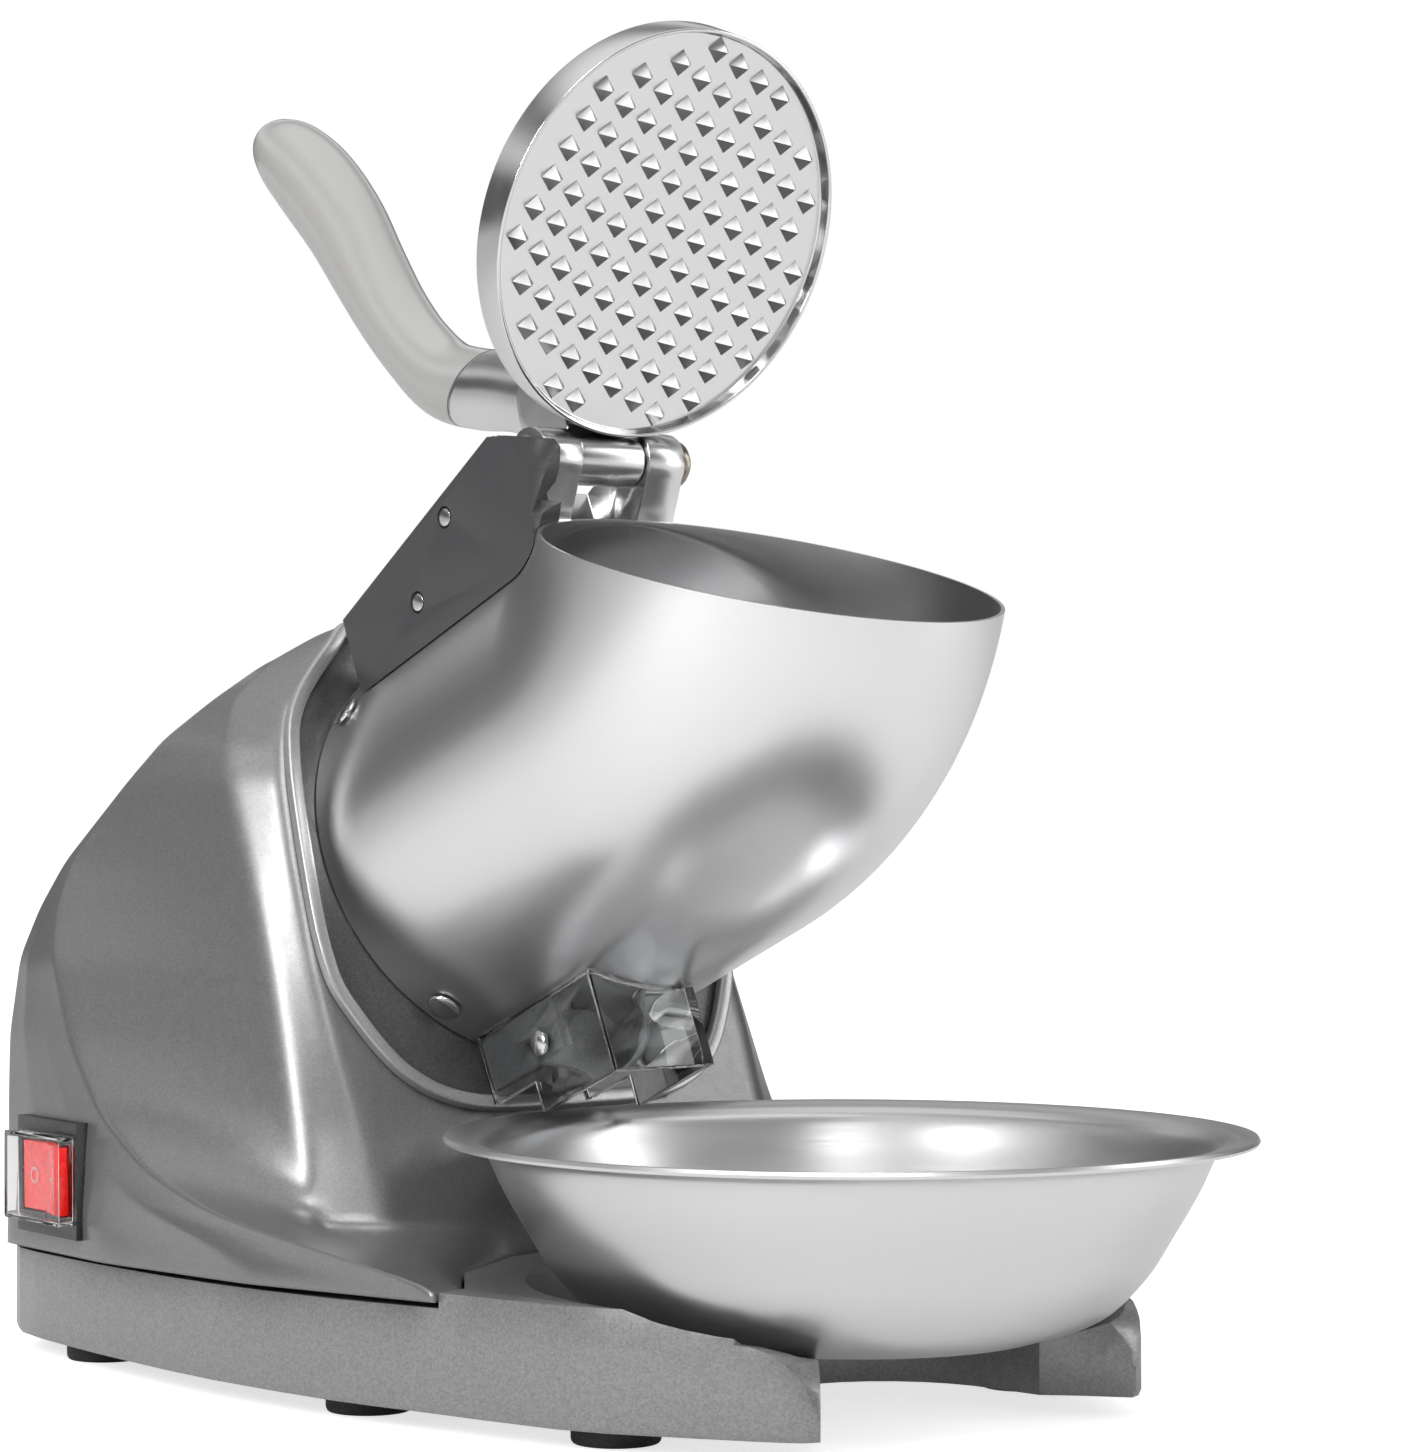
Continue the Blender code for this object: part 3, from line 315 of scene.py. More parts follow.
def resample(line, count, closed=False):
    """The same line with evenly spaced points, by its length; a closed line repeats no point."""
    line = np.vstack([line, line[:1]]) if closed else np.asarray(line)
    along = np.concatenate([[0], np.cumsum(np.linalg.norm(np.diff(line, axis=0), axis=1))])
    at = np.linspace(0, along[-1], count + 1)[:-1] if closed else np.linspace(0, along[-1], count)
    return np.stack([np.interp(at, along, line[:, k]) for k in range(line.shape[1])], axis=-1)


def blended(grid, across, along):
    """Softens folds: every point moves to the weighted mean of itself and its neighbours, a number of times
    round each row and a number of times between rows, whose ends stay put."""
    for _ in range(across):
        grid = (np.roll(grid, 1, axis=1) + 2 * grid + np.roll(grid, -1, axis=1)) / 4
    for _ in range(along):
        inner = (grid[:-2] + 2 * grid[1:-1] + grid[2:]) / 4
        grid = np.concatenate([grid[:1], inner, grid[-1:]])
    return grid


PLAN_X = [58, 67, 76, 92, 104, 115, 121.5, 125.5, 123.5, 120, 114.2, 103, 84, 45, 0]
PLAN_Y = [-155, -152, -140, -114, -89, -36, -3, 52, 103, 143, 180, 197, 206, 211.5, 213.5]


def skirt_x(y):
    """Half width of the housing's lower edge: the base's plan and a small overhang."""
    return np.interp(y, PLAN_Y, PLAN_X) + 2.5


def side_points(crease, corner):
    """Two points between the crease and the back corner, bulging outwards as the base's plan does."""
    part = np.array([0.33, 0.67])
    y = crease[1] + (corner[1] - crease[1]) * part
    lean = (skirt_x(crease[1]) - crease[0]) * (1 - part) + (skirt_x(corner[1]) - corner[0]) * part
    return np.stack([skirt_x(y) - lean, y], axis=-1)


def round_back(corner, back):
    """Points from the back corner to the middle of the convex back."""
    part = np.array([0.92, 0.75, 0.5, 0.25, 0.0])
    return np.stack([part * corner[0], corner[1] + (back - corner[1]) * (1 - part ** 2.6)], axis=-1)


def half_level(z, rim, ridge_x, ridge_y, crease_x, crease_y, corner_x, corner_y, back):
    """Half outline of the housing at one height: sloped front, ridge, cheek, crease, side wall and back."""
    front = DRIVE_Y * 1000 + (z - DRIVE_Z * 1000) * TILT_COS / TILT_SIN
    crease, corner = (crease_x, crease_y), (corner_x, corner_y)
    line = np.vstack([[(0, front), (rim / 2, front), (rim, front), (ridge_x, max(front, ridge_y)), crease],
                      side_points(crease, corner), [corner], round_back(corner, back)])
    return np.column_stack([line, np.full(len(line), z)])


def half_fender(lift, scale):
    """Half outline of the fenders: an arc round the bowl, the tip beside it, then the base's plan."""
    turn = np.radians([0, 22, 44, 62])
    reach = 115 * scale
    arc = np.stack([reach * np.sin(turn), BOWL_Y * 1000 + reach * np.cos(turn)], axis=-1)
    tip, corner = (skirt_x(-47), -47), (118, 184)
    line = np.vstack([arc, [tip], side_points(tip, corner), [corner], round_back(corner, 217)])
    return np.column_stack([line, 36.6 - 3.2 * (line[:, 1] + 53) / 265 + lift])


LEVELS = [half_fender(1.8, 1.006), half_fender(6, 1.012)] + [half_level(*row) for row in (
    (50, 80, 98, 31, 123.6, -3, 117.5, 184, 217), (56, 80, 97.6, 34, 127.6, 44, 117.5, 184, 217),
    (67, 80, 97, 39, 126.8, 85, 117, 184, 217), (83, 81, 96, 47, 124.4, 116, 116.5, 184.5, 217),
    (104, 83, 94.8, 56, 122, 137, 115.5, 185, 216.5), (129, 83.5, 93.3, 66.5, 119, 152, 112, 184, 214),
    (145, 82.5, 92.3, 74, 113.5, 159, 107, 180, 209), (160, 82, 91.4, 82, 107.5, 160, 101, 174, 200),
    (173, 80.5, 90.4, 89, 102, 152, 95.5, 164, 189.5), (187, 78.5, 89, 96, 97, 141, 91, 151, 176),
    (200, 74.5, 86, 102.5, 91.5, 130, 86, 138, 160), (213, 69, 79, 107.5, 81.5, 116, 76, 123, 142),
    (225, 57, 64, 110.5, 62, 115, 55, 120.5, 130), (235, 44, 46, 106.5, 40, 108, 32, 112, 118),
    (241, 26, 27, 104, 20, 105, 12, 107, 110))]
SPANS = (18, 18, 8, 34, 20, 20, 20, 5, 9, 12, 12, 12)    # points on each stretch of the half outline


def dense_half(line):
    """Puts the wanted number of points on each stretch, so that rows match point for point."""
    steps = [line[k] + (line[k + 1] - line[k]) * np.linspace(0, 1, count, endpoint=False)[:, None]
             for k, count in enumerate(SPANS[:len(line) - 1])]
    return np.vstack(steps + [line[-1:]])


half = np.stack([dense_half(line) for line in LEVELS])
mirror = half[:, -2:0:-1] * (-1, 1, 1)
whole = np.concatenate([half, mirror], axis=1)
heights = np.array([0, 3, 7, 10, 14, 20, 27, 37, 43, 49, 55, 61, 67, 73, 79, 85, 89], float)
fine = np.arange(0, 89.5, 1.0)
rows = np.clip(np.searchsorted(heights, fine, side="right") - 1, 0, len(heights) - 2)
part = ((fine - heights[rows]) / (heights[rows + 1] - heights[rows]))[:, None, None]
shell = (whole[rows] * (1 - part) + whole[rows + 1] * part) * 0.001
shell = blended(shell, 3, 2)
top = shell[-1].mean(axis=0)
crown = np.stack([top + (shell[-1] - top) * scale + (0, 0, lift)
                  for scale, lift in ((0.8, 0.0004), (0.4, 0.0006))])
shell = np.concatenate([shell, crown])

housing_grey = flake_paint("housing grey", (0.19, 0.19, 0.192), (0.235, 0.235, 0.238),
                           0.55, 0.32, 0.15, 2200.0)
housing = surface("cast_housing", shell, "machine", housing_grey,
                  caps=(False, True), sharp=80)

FRONT_X = [0, 39, 63, 79, 83, 82, 77, 69, 49, 42.5, 24, 0]
FRONT_U = [-88, -86.4, -75, -51, -34.5, -8, 33, 54, 75, 80.5, 84, 85]


def smooth_line(points, steps):
    """A curve through the points: each stretch is a cubic whose slopes come from its neighbours."""
    p = np.asarray(points, float)
    p = np.vstack([2 * p[0] - p[1], p, 2 * p[-1] - p[-2]])
    a, b, c, d = p[:-3, None], p[1:-2, None], p[2:-1, None], p[3:, None]
    t = np.linspace(0, 1, steps, endpoint=False)[None, :, None]
    curve = 0.5 * (2 * b + (c - a) * t + (2 * a - 5 * b + 4 * c - d) * t ** 2
                   + (3 * b - a - 3 * c + d) * t ** 3)
    return np.vstack([curve.reshape(-1, p.shape[1]), p[-2:-1]])


def front_outline(inwards=0.0):
    """Closed outline of the front's bezel, moved inwards along its normal."""
    side = smooth_line(np.column_stack([FRONT_X, FRONT_U]), 6) * 0.001
    loop = np.vstack([side, side[-2:0:-1] * (-1, 1)])
    loop = resample(loop, 180, closed=True)
    along = np.roll(loop, -1, axis=0) - np.roll(loop, 1, axis=0)
    normal = np.stack([-along[:, 1], along[:, 0]], axis=-1)
    normal /= np.linalg.norm(normal, axis=1, keepdims=True)
    return loop + normal * inwards


def open_front(piece, limit):
    """Removes the faces of the sloped front that lie inside the bezel's outline shrunk by a margin."""
    outline = front_outline(limit)
    work = bmesh.new()
    work.from_mesh(piece.data)
    work.faces.ensure_lookup_table()
    middle = np.array([face.calc_center_median() for face in work.faces])
    back, up = middle[:, 1] - DRIVE_Y, middle[:, 2] - DRIVE_Z
    climb = back * TILT_COS + up * TILT_SIN
    out = up * TILT_COS - back * TILT_SIN
    radius = np.hypot(outline[:, 0], outline[:, 1])
    angle = np.unwrap(np.arctan2(outline[:, 1], outline[:, 0]))
    order = np.argsort(np.mod(angle, 2 * pi))
    limit_at = np.interp(np.mod(np.arctan2(climb, middle[:, 0]), 2 * pi), np.mod(angle, 2 * pi)[order],
                         radius[order], period=2 * pi)
    inside = (np.abs(out) < 0.006) & (np.hypot(middle[:, 0], climb) < limit_at)
    gone = [work.faces[k] for k in np.flatnonzero(inside)]
    bmesh.ops.delete(work, geom=gone, context="FACES")
    work.to_mesh(piece.data)
    work.free()


open_front(housing, 0.0034)
wall = housing.modifiers.new("Cast wall", "SOLIDIFY")
wall.thickness = 0.003
wall.offset = -1
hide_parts("housing_shell")


# ---------------------------------------------------------------- Mains switch and cord inlet
# Black snap-in frame with a translucent red rocker under a clear splash boot, on the lower rear of the side.
# The marks on the rocker are the plain ring and bar; the inlet is a moulded rubber bush with no lead.

def clear(name, color, rough=0.03, ior=1.49, weight=1.0):
    """Clear plastic sheet."""
    made, _, shader, _ = blank(name, color, 0.0)
    shader.inputs["Roughness"].default_value = rough
    shader.inputs["IOR"].default_value = ior
    shader.inputs["Transmission Weight"].default_value = weight
    return made


gloss_black = moulded("gloss black plastic", (0.012, 0.012, 0.013), 0.3, 0.03, 700.0, 0.3)
rocker_red_painted_glow = moulded("red rocker with painted glow", (0.72, 0.006, 0.004), 0.25, 0.01, 500.0, 0.3)
# The rocker's faint red emission is a painted glow: the switch has no lamp inside.
rocker_shader = rocker_red_painted_glow.node_tree.nodes["Principled BSDF"]
rocker_shader.inputs["Emission Color"].default_value = (0.9, 0.01, 0.005, 1.0)
rocker_shader.inputs["Emission Strength"].default_value = 0.3
boot_clear = clear("clear boot", (1.0, 0.985, 0.985), 0.0, 1.2)
white_mark = moulded("white print", (0.85, 0.75, 0.74), 0.4)
dress("switch_frame", gloss_black, 0.0005)
dress("rocker", rocker_red_painted_glow, 0.0004)
dress("switch_boot", boot_clear, 0.0008)

YAW = radians(5.5)
ROCK = radians(8)
WALL_OUT = np.array([-cos(YAW), sin(YAW), 0.0])
WALL_FRONT = np.array([-sin(YAW), -cos(YAW), 0.0])
PIVOT = np.array([-0.124982, 0.143383, 0.0605])
FACE_FRONT = WALL_FRONT * cos(ROCK) + WALL_OUT * sin(ROCK)
FACE_OUT = WALL_OUT * cos(ROCK) - WALL_FRONT * sin(ROCK)
SLOPE = np.arctan2(2.0, 15.0)       # each half of the rocker rises from the middle to its end


def on_half(side, along, up, out):
    """Points on one half of the rocker's face: distance from the middle, height, and lift off the face."""
    run = FACE_FRONT * side * cos(SLOPE) + FACE_OUT * sin(SLOPE)
    rise = FACE_OUT * cos(SLOPE) - FACE_FRONT * side * sin(SLOPE)
    along, up, out = np.broadcast_arrays(along, up, out)
    return PIVOT + FACE_OUT * 0.0016 + along[..., None] * run + up[..., None] * Z + out[..., None] * rise


a = np.linspace(0, 2 * pi, 40, endpoint=False)
around, tube = np.meshgrid(a, a[::5], indexing="ij")
ring_wide = 0.0023 + 0.0003 * np.cos(tube)
ring_mark = on_half(-1, 0.0074 + ring_wide * np.cos(around), ring_wide * np.sin(around),
                    0.0001 + 0.0002 * np.sin(tube))
surface("ring_mark", ring_mark, "rocker", white_mark, ring=True)
bar_a = np.linspace(0, 2 * pi, 24, endpoint=False)[None]
bar_x = np.clip(np.cos(bar_a) * 4, -1, 1) * np.array([[0.0014], [0.0014], [0.0012]])
bar_y = np.clip(np.sin(bar_a) * 4, -1, 1) * np.array([[0.0004], [0.0004], [0.0003]])
bar_lift = np.array([[-0.0001], [0.0002], [0.0003]])
surface("bar_mark", on_half(1, 0.011 + bar_x, bar_y, bar_lift), "rocker", white_mark,
        caps=(True, True))
dress("cord_gland", rubber, 0.0004)


# ---------------------------------------------------------------- Motor inside the housing
# Plain induction motor on a cast mount: case, cores, end cap, bearings and a cooling fan.
# None of it shows once the housing is on; the frame's own shapes carry its metal finishes.

cast_grey = flake_paint("cast grey", (0.36, 0.36, 0.36), (0.44, 0.44, 0.44), 0.5, 0.3, 0.3, 2200.0)
core_steel = metal("laminated steel", (0.42, 0.4, 0.38), 0.3, 0.45, (60.0, 900.0, 900.0))
matte_black = moulded("matte black plastic", (0.022, 0.022, 0.024), 0.5, 0.15, 1200.0)
dress("motor_case", black_steel, 0.0006)
dress("motor_mount", cast_grey, 0.0006)
dress("motor_end_cap", cast_grey, 0.0006)
dress("stator", core_steel)
dress("rotor", core_steel)
dress("fan", matte_black, 0.0003)
dress("front_bearing", screw_steel, 0.0003)
dress("rear_bearing", screw_steel, 0.0003)
dress("shaft_seal", rubber, 0.0003)
dress("drive_shaft", screw_steel, 0.0003)


# ---------------------------------------------------------------- Front plate and its bezel
# Dark cast plate with a round collar for the drum, framed by a lighter cast bezel.
# The bezel is a soft half-round moulding; the plate stays in the frame's shape with rounded edges.

plate_dark = flake_paint("plate dark grey", (0.085, 0.085, 0.087), (0.13, 0.13, 0.133),
                         0.5, 0.34, 0.15, 2200.0)
dress("front_plate", plate_dark, 0.0008)
ring = [(0.0, 0.0003), (0.0, 0.0034), (0.0022, 0.0035), (0.0048, 0.0031), (0.0048, 0.0003)]
ring = rounded(ring, 0.0016, 5)
loops = np.stack([np.column_stack([front_outline(step), np.full(180, lift)]) for step, lift in ring])
bezel = surface("cast_bezel", on_drive(loops[..., 0], loops[..., 1], loops[..., 2]), "machine", cast_grey,
                ring=True)
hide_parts("bezel_ring")


# ---------------------------------------------------------------- Cutter disc
# Turned aluminium disc on the motor's shaft, with two ground blades screwed to it and a nut in the middle.
# It spins behind the drum's mouth and shows through it from above.

disc_metal = metal("turned aluminium", (0.7, 0.7, 0.7), 0.2, 0.34, (500.0, 500.0, 60.0))
blade_steel = metal("ground steel", (0.74, 0.74, 0.75), 0.12, 0.22, (900.0, 40.0, 40.0))
dress("cutter_disc", disc_metal, 0.0006)
dress("disc_nut", screw_steel, 0.0005)
for number in (1, 2):
    dress(f"blade_{number}", blade_steel, 0.0002)
for number in range(1, 5):
    dress(f"blade_screw_{number}", screw_steel, 0.0003)


# ---------------------------------------------------------------- Drum hopper
# Polished stainless sheet rolled into a drum that turns up to a round mouth; its edge is rolled over.
# Four pan-head screws hold it to the collar and leave shallow dimples in the sheet.

DRUM_R, DRUM_BEND, DRUM_LONG = 0.0714, 0.0725, 0.0993      # radius, elbow's radius and straight length
DRUM_TURN = radians(52)
SHEET = 0.0012


def drum_rows(radius):
    """Circles of one radius: straight out from the collar, then round the elbow, where the circle turned by t
    lies bend * sin t further out and bend * (1 - cos t) higher."""
    turn = np.concatenate([np.zeros(14), np.linspace(0, DRUM_TURN, 60)])
    out = np.concatenate([np.linspace(0.0004, DRUM_LONG, 14, endpoint=False), np.full(60, DRUM_LONG)])
    out = out + DRUM_BEND * np.sin(turn)
    climb = DRUM_BEND * (1 - np.cos(turn))
    a = np.linspace(0, 2 * pi, 120, endpoint=False)
    x = np.broadcast_to(radius * np.cos(a), (len(turn), 120))
    lift = radius * np.sin(a)[None]
    return np.stack([x, climb[:, None] + lift * np.cos(turn)[:, None],
                     out[:, None] - lift * np.sin(turn)[:, None]], axis=-1)


outer = drum_rows(DRUM_R)
inner = drum_rows(DRUM_R - SHEET)
screw_turns = np.radians([40, 140, 230, 310])
around = np.arctan2(outer[..., 1], outer[..., 0])
for turn in screw_turns:
    away = ((around - turn + pi) % (2 * pi) - pi) * DRUM_R
    dent = 0.0007 * np.exp(-((away ** 2 + (outer[..., 2] - 0.008) ** 2) / 0.0055 ** 2))
    dent = dent * (outer[..., 2] < 0.03)
    outer[..., :2] *= (1 - dent / DRUM_R)[..., None]
    inner[..., :2] *= (1 - dent / DRUM_R)[..., None]
lip = (outer[-1] + inner[-1]) / 2
drum = np.concatenate([outer, lip[None], inner[::-1]])
drum_steel = metal("polished steel", (0.76, 0.76, 0.765), 0.28, 0.295, (900.0, 12.0, 12.0), 0.0)
hopper = surface("drum_hopper", on_drive(drum[..., 0], drum[..., 1], drum[..., 2]), "machine", drum_steel,
                 ring=True, sharp=60)
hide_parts("hopper")
for number in range(1, 5):
    dress(f"hopper_screw_{number}", screw_steel, 0.0006)


# ---------------------------------------------------------------- Chute guard and spout
# Clear acrylic guard with polished edges under the drum, held by a screw in each side.
# Inside it a dark cast spout leads the shaved ice down into the bowl.

guard_clear = clear("clear acrylic", (0.95, 0.965, 0.965), 0.02)
spout_dark = flake_paint("spout dark", (0.13, 0.132, 0.136), (0.2, 0.202, 0.208), 0.4, 0.4, 0.1, 2600.0)
dress("chute_guard", guard_clear, 0.0003, 2)
dress("discharge_spout", spout_dark, 0.0006)
for number in (1, 2):
    dress(f"chute_screw_{number}", screw_steel, 0.0004)


# ---------------------------------------------------------------- Bowl
# Spun stainless bowl with a flat foot and a wide flange whose edge is rolled under; brushed round its axis.
# It stands loose in the base's dish.

outside = [(58, 25.3), (75, 31.2), (87, 42.5), (95, 55), (102.5, 68), (107.2, 78), (110.5, 81)]
inside = [(110, 82.2), (106.2, 79), (101.5, 68.6), (94, 55.6), (86, 43.2), (74.4, 32.2), (57.8, 26.3)]
rim = [(115, 81.9), (118.2, 82.2), (119.6, 82.0), (120, 82.9), (119.4, 83.9), (117.6, 83.9), (114, 83.1)]
wall_line = np.vstack([[(6, 25.3)], smooth_line(outside, 5), rim, smooth_line(inside, 5), [(6, 26.3)]])
bowl_steel = metal("brushed steel", (0.66, 0.66, 0.665), 0.3, 0.36, (25.0, 25.0, 2200.0), 0.01)
bowl = surface("spun_bowl", spun(wall_line * 0.001, (0, BOWL_Y, 0), X, Y, Z, 160), "bowl", bowl_steel,
               caps=(True, True), sharp=50)
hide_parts("bowl")


# ---------------------------------------------------------------- Hinge bracket and pin
# Cast bracket behind the drum, polished, ending in two lugs; a steel pin runs through lugs and lever.
# The pin's head shows on the far side of the lugs.

arm_metal = metal("polished casting", (0.66, 0.66, 0.655), 0.2, 0.28, (60.0, 60.0, 60.0), 0.005)
pin_metal = metal("dark pin steel", (0.28, 0.25, 0.21), 0.22, 0.34, (300.0, 300.0, 300.0))
dress("hinge_bracket", arm_metal, 0.0011)
dress("hinge_pin", pin_metal, 0.0006)


# ---------------------------------------------------------------- Safety switch box
# Black moulded cover beside the hinge with two sunk screws; the lid's plunger stands out of its top.
# The moulding has a rounded outer edge and a recess where the press plate swings past.

box_black = moulded("box black plastic", (0.05, 0.05, 0.053), 0.42, 0.1, 1500.0, 0.15)
dress("switch_box", box_black, 0.0014, 4)
for number in (1, 2):
    dress(f"box_screw_{number}", screw_steel, 0.0004)
micro_black = moulded("switch body plastic", (0.03, 0.03, 0.032), 0.45)
dress("microswitch", micro_black, 0.0005)
dress("safety_plunger", screw_steel, 0.0003)


# ---------------------------------------------------------------- Press plate
# Cast and polished aluminium disc; its sunk face carries rows of four-sided teeth that grip the ice.
# The rim is turned bright and slightly rounded.

LEAN = radians(19.9)                # the open lid's plate leans forward by this from upright
PLATE_MIDDLE = np.array([0.0, -0.015, 0.356])
PLATE_UP = np.array([0.0, -sin(LEAN), cos(LEAN)])
PLATE_BACK = np.array([0.0, cos(LEAN), sin(LEAN)])
plate_line = [(0.002, 0.0034), (0.0632, 0.0034), (0.0638, 0.0), (0.065, 0.0), (0.065, 0.0115),
              (0.055, 0.0115), (0.051, 0.0072), (0.002, 0.0072)]
plate_line = rounded(plate_line, 0.0006, 4)
plate_metal = metal("polished aluminium", (0.7, 0.7, 0.705), 0.16, 0.22, (120.0, 120.0, 120.0), 0.01)
disc = surface("press_plate", spun(plate_line, PLATE_MIDDLE, X, PLATE_UP, PLATE_BACK, 144), "lid",
               plate_metal, caps=(True, True), sharp=50)
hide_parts("press_plate")

PITCH, TOOTH, TOOTH_TALL = 0.0104, 0.0042, 0.0046


def tooth_rows(angle):
    """Middles of the teeth: a square grid turned by an angle, kept inside the rim."""
    k = np.arange(-8, 9)
    a, b = np.meshgrid(k, k, indexing="ij")
    spots = np.stack([a + 0.3, b + 0.4], axis=-1).reshape(-1, 2) * PITCH
    turn = np.array([[cos(angle), sin(angle)], [-sin(angle), cos(angle)]])
    spots = spots @ turn
    return spots[np.hypot(spots[:, 0], spots[:, 1]) < 0.0592]


def toothed(name, spots):
    """One mesh of four-sided pyramids with a small flat tip, standing on the plate's sunk face."""
    turn = np.arange(4) * pi / 2
    base = np.stack([np.cos(turn), np.sin(turn)], axis=-1)
    levels = np.array([(1.0, 0.0036), (0.97, 0.0032), (0.06, 0.0036 - TOOTH_TALL)])
    flat = spots[:, None, None] + base[None, None] * (levels[:, 0] * TOOTH)[None, :, None, None]
    depth = np.broadcast_to(levels[:, 1][None, :, None], flat.shape[:3])
    points = (PLATE_MIDDLE + flat[..., :1] * X + flat[..., 1:] * PLATE_UP + depth[..., None] * PLATE_BACK)
    count = len(spots)
    start = (np.arange(count) * 12)[:, None, None]
    k = np.arange(4)[None, None]
    level = (np.arange(2) * 4)[None, :, None]
    sides = np.stack([start + level + k, start + level + (k + 1) % 4, start + level + 4 + (k + 1) % 4,
                      start + level + 4 + k], axis=-1).reshape(-1, 4)
    tips = np.stack([start[:, 0, 0] + 8 + j for j in range(4)], axis=-1)
    bottoms = np.stack([start[:, 0, 0] + j for j in (3, 2, 1, 0)], axis=-1)
    mesh = bpy.data.meshes.new(name)
    mesh.from_pydata(points.reshape(-1, 3).tolist(), [], np.vstack([sides, tips, bottoms]).tolist())
    work = bmesh.new()
    work.from_mesh(mesh)
    bmesh.ops.recalc_face_normals(work, faces=work.faces)
    work.to_mesh(mesh)
    work.free()
    mesh.materials.append(tooth_metal_painted_shade)
    piece = bpy.data.objects.new(name, mesh)
    bpy.context.scene.collection.objects.link(piece)
    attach(piece, "lid")
    return piece


# The teeth take a darker copy of the plate's polished metal: painted shade on the sunk, toothed face.
tooth_metal_painted_shade = metal("tooth faces painted darker for shade", (0.33, 0.33, 0.335), 0.34, 0.4, (120.0, 120.0, 120.0), 0.01)
toothed("plate_teeth", tooth_rows(radians(-23)))


# ---------------------------------------------------------------- Lever arm and grip
# Polished cast arm: a hub between the lugs, a pad behind the plate and an oval arm up to the joint line.
# The grip is glossy light-grey plastic: oval sections along an S-curve that carries on from the arm.

HINGE = np.array([-0.004, 0.015, 0.288])
# Each station: middle y and z from the hinge, half height and half width, in millimetres
stations = [(8, 17, 14.6, 12.2), (26, 21, 14.2, 12.5), (46, 25, 13.4, 12.5), (65.6, 27, 13.4, 12.5),
            (84, 31.5, 13.4, 12.6), (101, 43, 12.6, 12.6), (115, 56, 12.8, 12.8), (128, 71, 14, 13),
            (142, 88, 15.4, 13.5), (158, 103, 15.6, 13.8), (172, 113.5, 13.8, 13), (180.5, 118.8, 10.8, 11),
            (185, 121.1, 7.8, 8.4), (187.4, 122.3, 4.6, 5.2)]
line = smooth_line(np.array(stations) * 0.001, 8)
slope = np.gradient(line[:, :2], axis=0)
slope /= np.linalg.norm(slope, axis=1, keepdims=True)
turn = np.linspace(0, 2 * pi, 64, endpoint=False)[None]
lift = line[:, 2:3] * np.sin(turn)
oval = np.stack([line[:, 3:4] * np.cos(turn), HINGE[1] + line[:, 0:1] - slope[:, 1:2] * lift,
                 HINGE[2] + line[:, 1:2] + slope[:, 0:1] * lift], axis=-1)
joint = HINGE[1:] + (0.084, 0.0017)         # lower end of the joint line between arm and grip
away = np.array([0.0512, 0.0372]) / np.hypot(0.0512, 0.0372)      # square to the joint line, to the grip
past = (oval[..., 1:] - joint) @ away
first = np.argmax(past > 0, axis=0)
columns = np.arange(64)
step_back = past[first, columns] / (past[first, columns] - past[first - 1, columns])
cut = first - step_back


def between(start, finish, count):
    """Rows of the swept oval between two row numbers, each given for every column: the mean of the two
    nearest rows, weighted by how close they are."""
    at = start + (finish - start) * np.linspace(0, 1, count)[:, None]
    low_row = np.clip(at.astype(int), 0, len(line) - 2)
    share = (at - low_row)[..., None]
    return oval[low_row, columns] * (1 - share) + oval[low_row + 1, columns] * share


def drawn_in(row, scale):
    """The row shrunk to its middle."""
    return row.mean(axis=0) + (row - row.mean(axis=0)) * scale


arm = between(np.zeros(64), cut - 0.1, 40)
arm_end = drawn_in(arm[-1], 0.96)
arm_start = drawn_in(arm[0], 0.8) + (0, -0.003, -0.001)
arm[-1] = arm[-2] + (arm[-1] - arm[-2]) * 0.7
arm_piece = surface("lever_casting", np.concatenate([arm_start[None], arm, arm_end[None]]), "lid", arm_metal,
                    caps=(True, True), sharp=60)
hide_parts("lever_arm")
HUB_R, HUB_HALF, BORE_R = 0.0082, 0.0128, 0.0045
hub_line = rounded([(BORE_R, -HUB_HALF), (HUB_R, -HUB_HALF), (HUB_R, HUB_HALF), (BORE_R, HUB_HALF)], 0.0012)
surface("lever_hub", spun(hub_line, HINGE, Y, Z, X, 64), "lid", arm_metal, caps=(True, True),
        sharp=50)
pad_side = resample(rounded([(6, -4), (17, 4), (27, 9), (30, 22), (26, 34), (17, 37), (8, 42), (-5, 56),
                             (-12, 53), (3, 11), (-2, 7), (6, -4)], 4.0, 6) * 0.001, 120, closed=True)
pad_middle = pad_side.mean(axis=0)
swell = np.linspace(-pi / 2, pi / 2, 25)
pad_across = HINGE[0] + 0.0122 * np.sin(swell)
shrink = 1 - 0.22 * (1 - np.cos(swell) ** 0.5)
pad = pad_middle + (pad_side - pad_middle)[None] * shrink[:, None, None]
pad = np.stack([np.broadcast_to(pad_across[:, None], pad.shape[:2]), HINGE[1] + pad[..., 0],
                HINGE[2] + pad[..., 1]], axis=-1)
surface("lever_pad", pad, "lid", arm_metal, caps=(True, True), sharp=60)
handle = between(cut + 0.08, np.full(64, len(line) - 1), 72)
tip = np.append(0, slope[-1])
dome = np.stack([drawn_in(handle[-1], scale) + tip * push
                 for scale, push in ((0.86, 0.0012), (0.5, 0.0024))])
shoulder = handle[0] + (handle[1] - handle[0]) * 0.02
inset = drawn_in(handle[0], 0.95)
grip_plastic = moulded("light grey grip", (0.4, 0.395, 0.385), 0.2, 0.0, 60.0, 0.8)
grip = surface("moulded_grip", np.concatenate([inset[None], shoulder[None], handle[1:], dome]), "lid",
               grip_plastic, caps=(True, True), sharp=50)
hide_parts("grip")


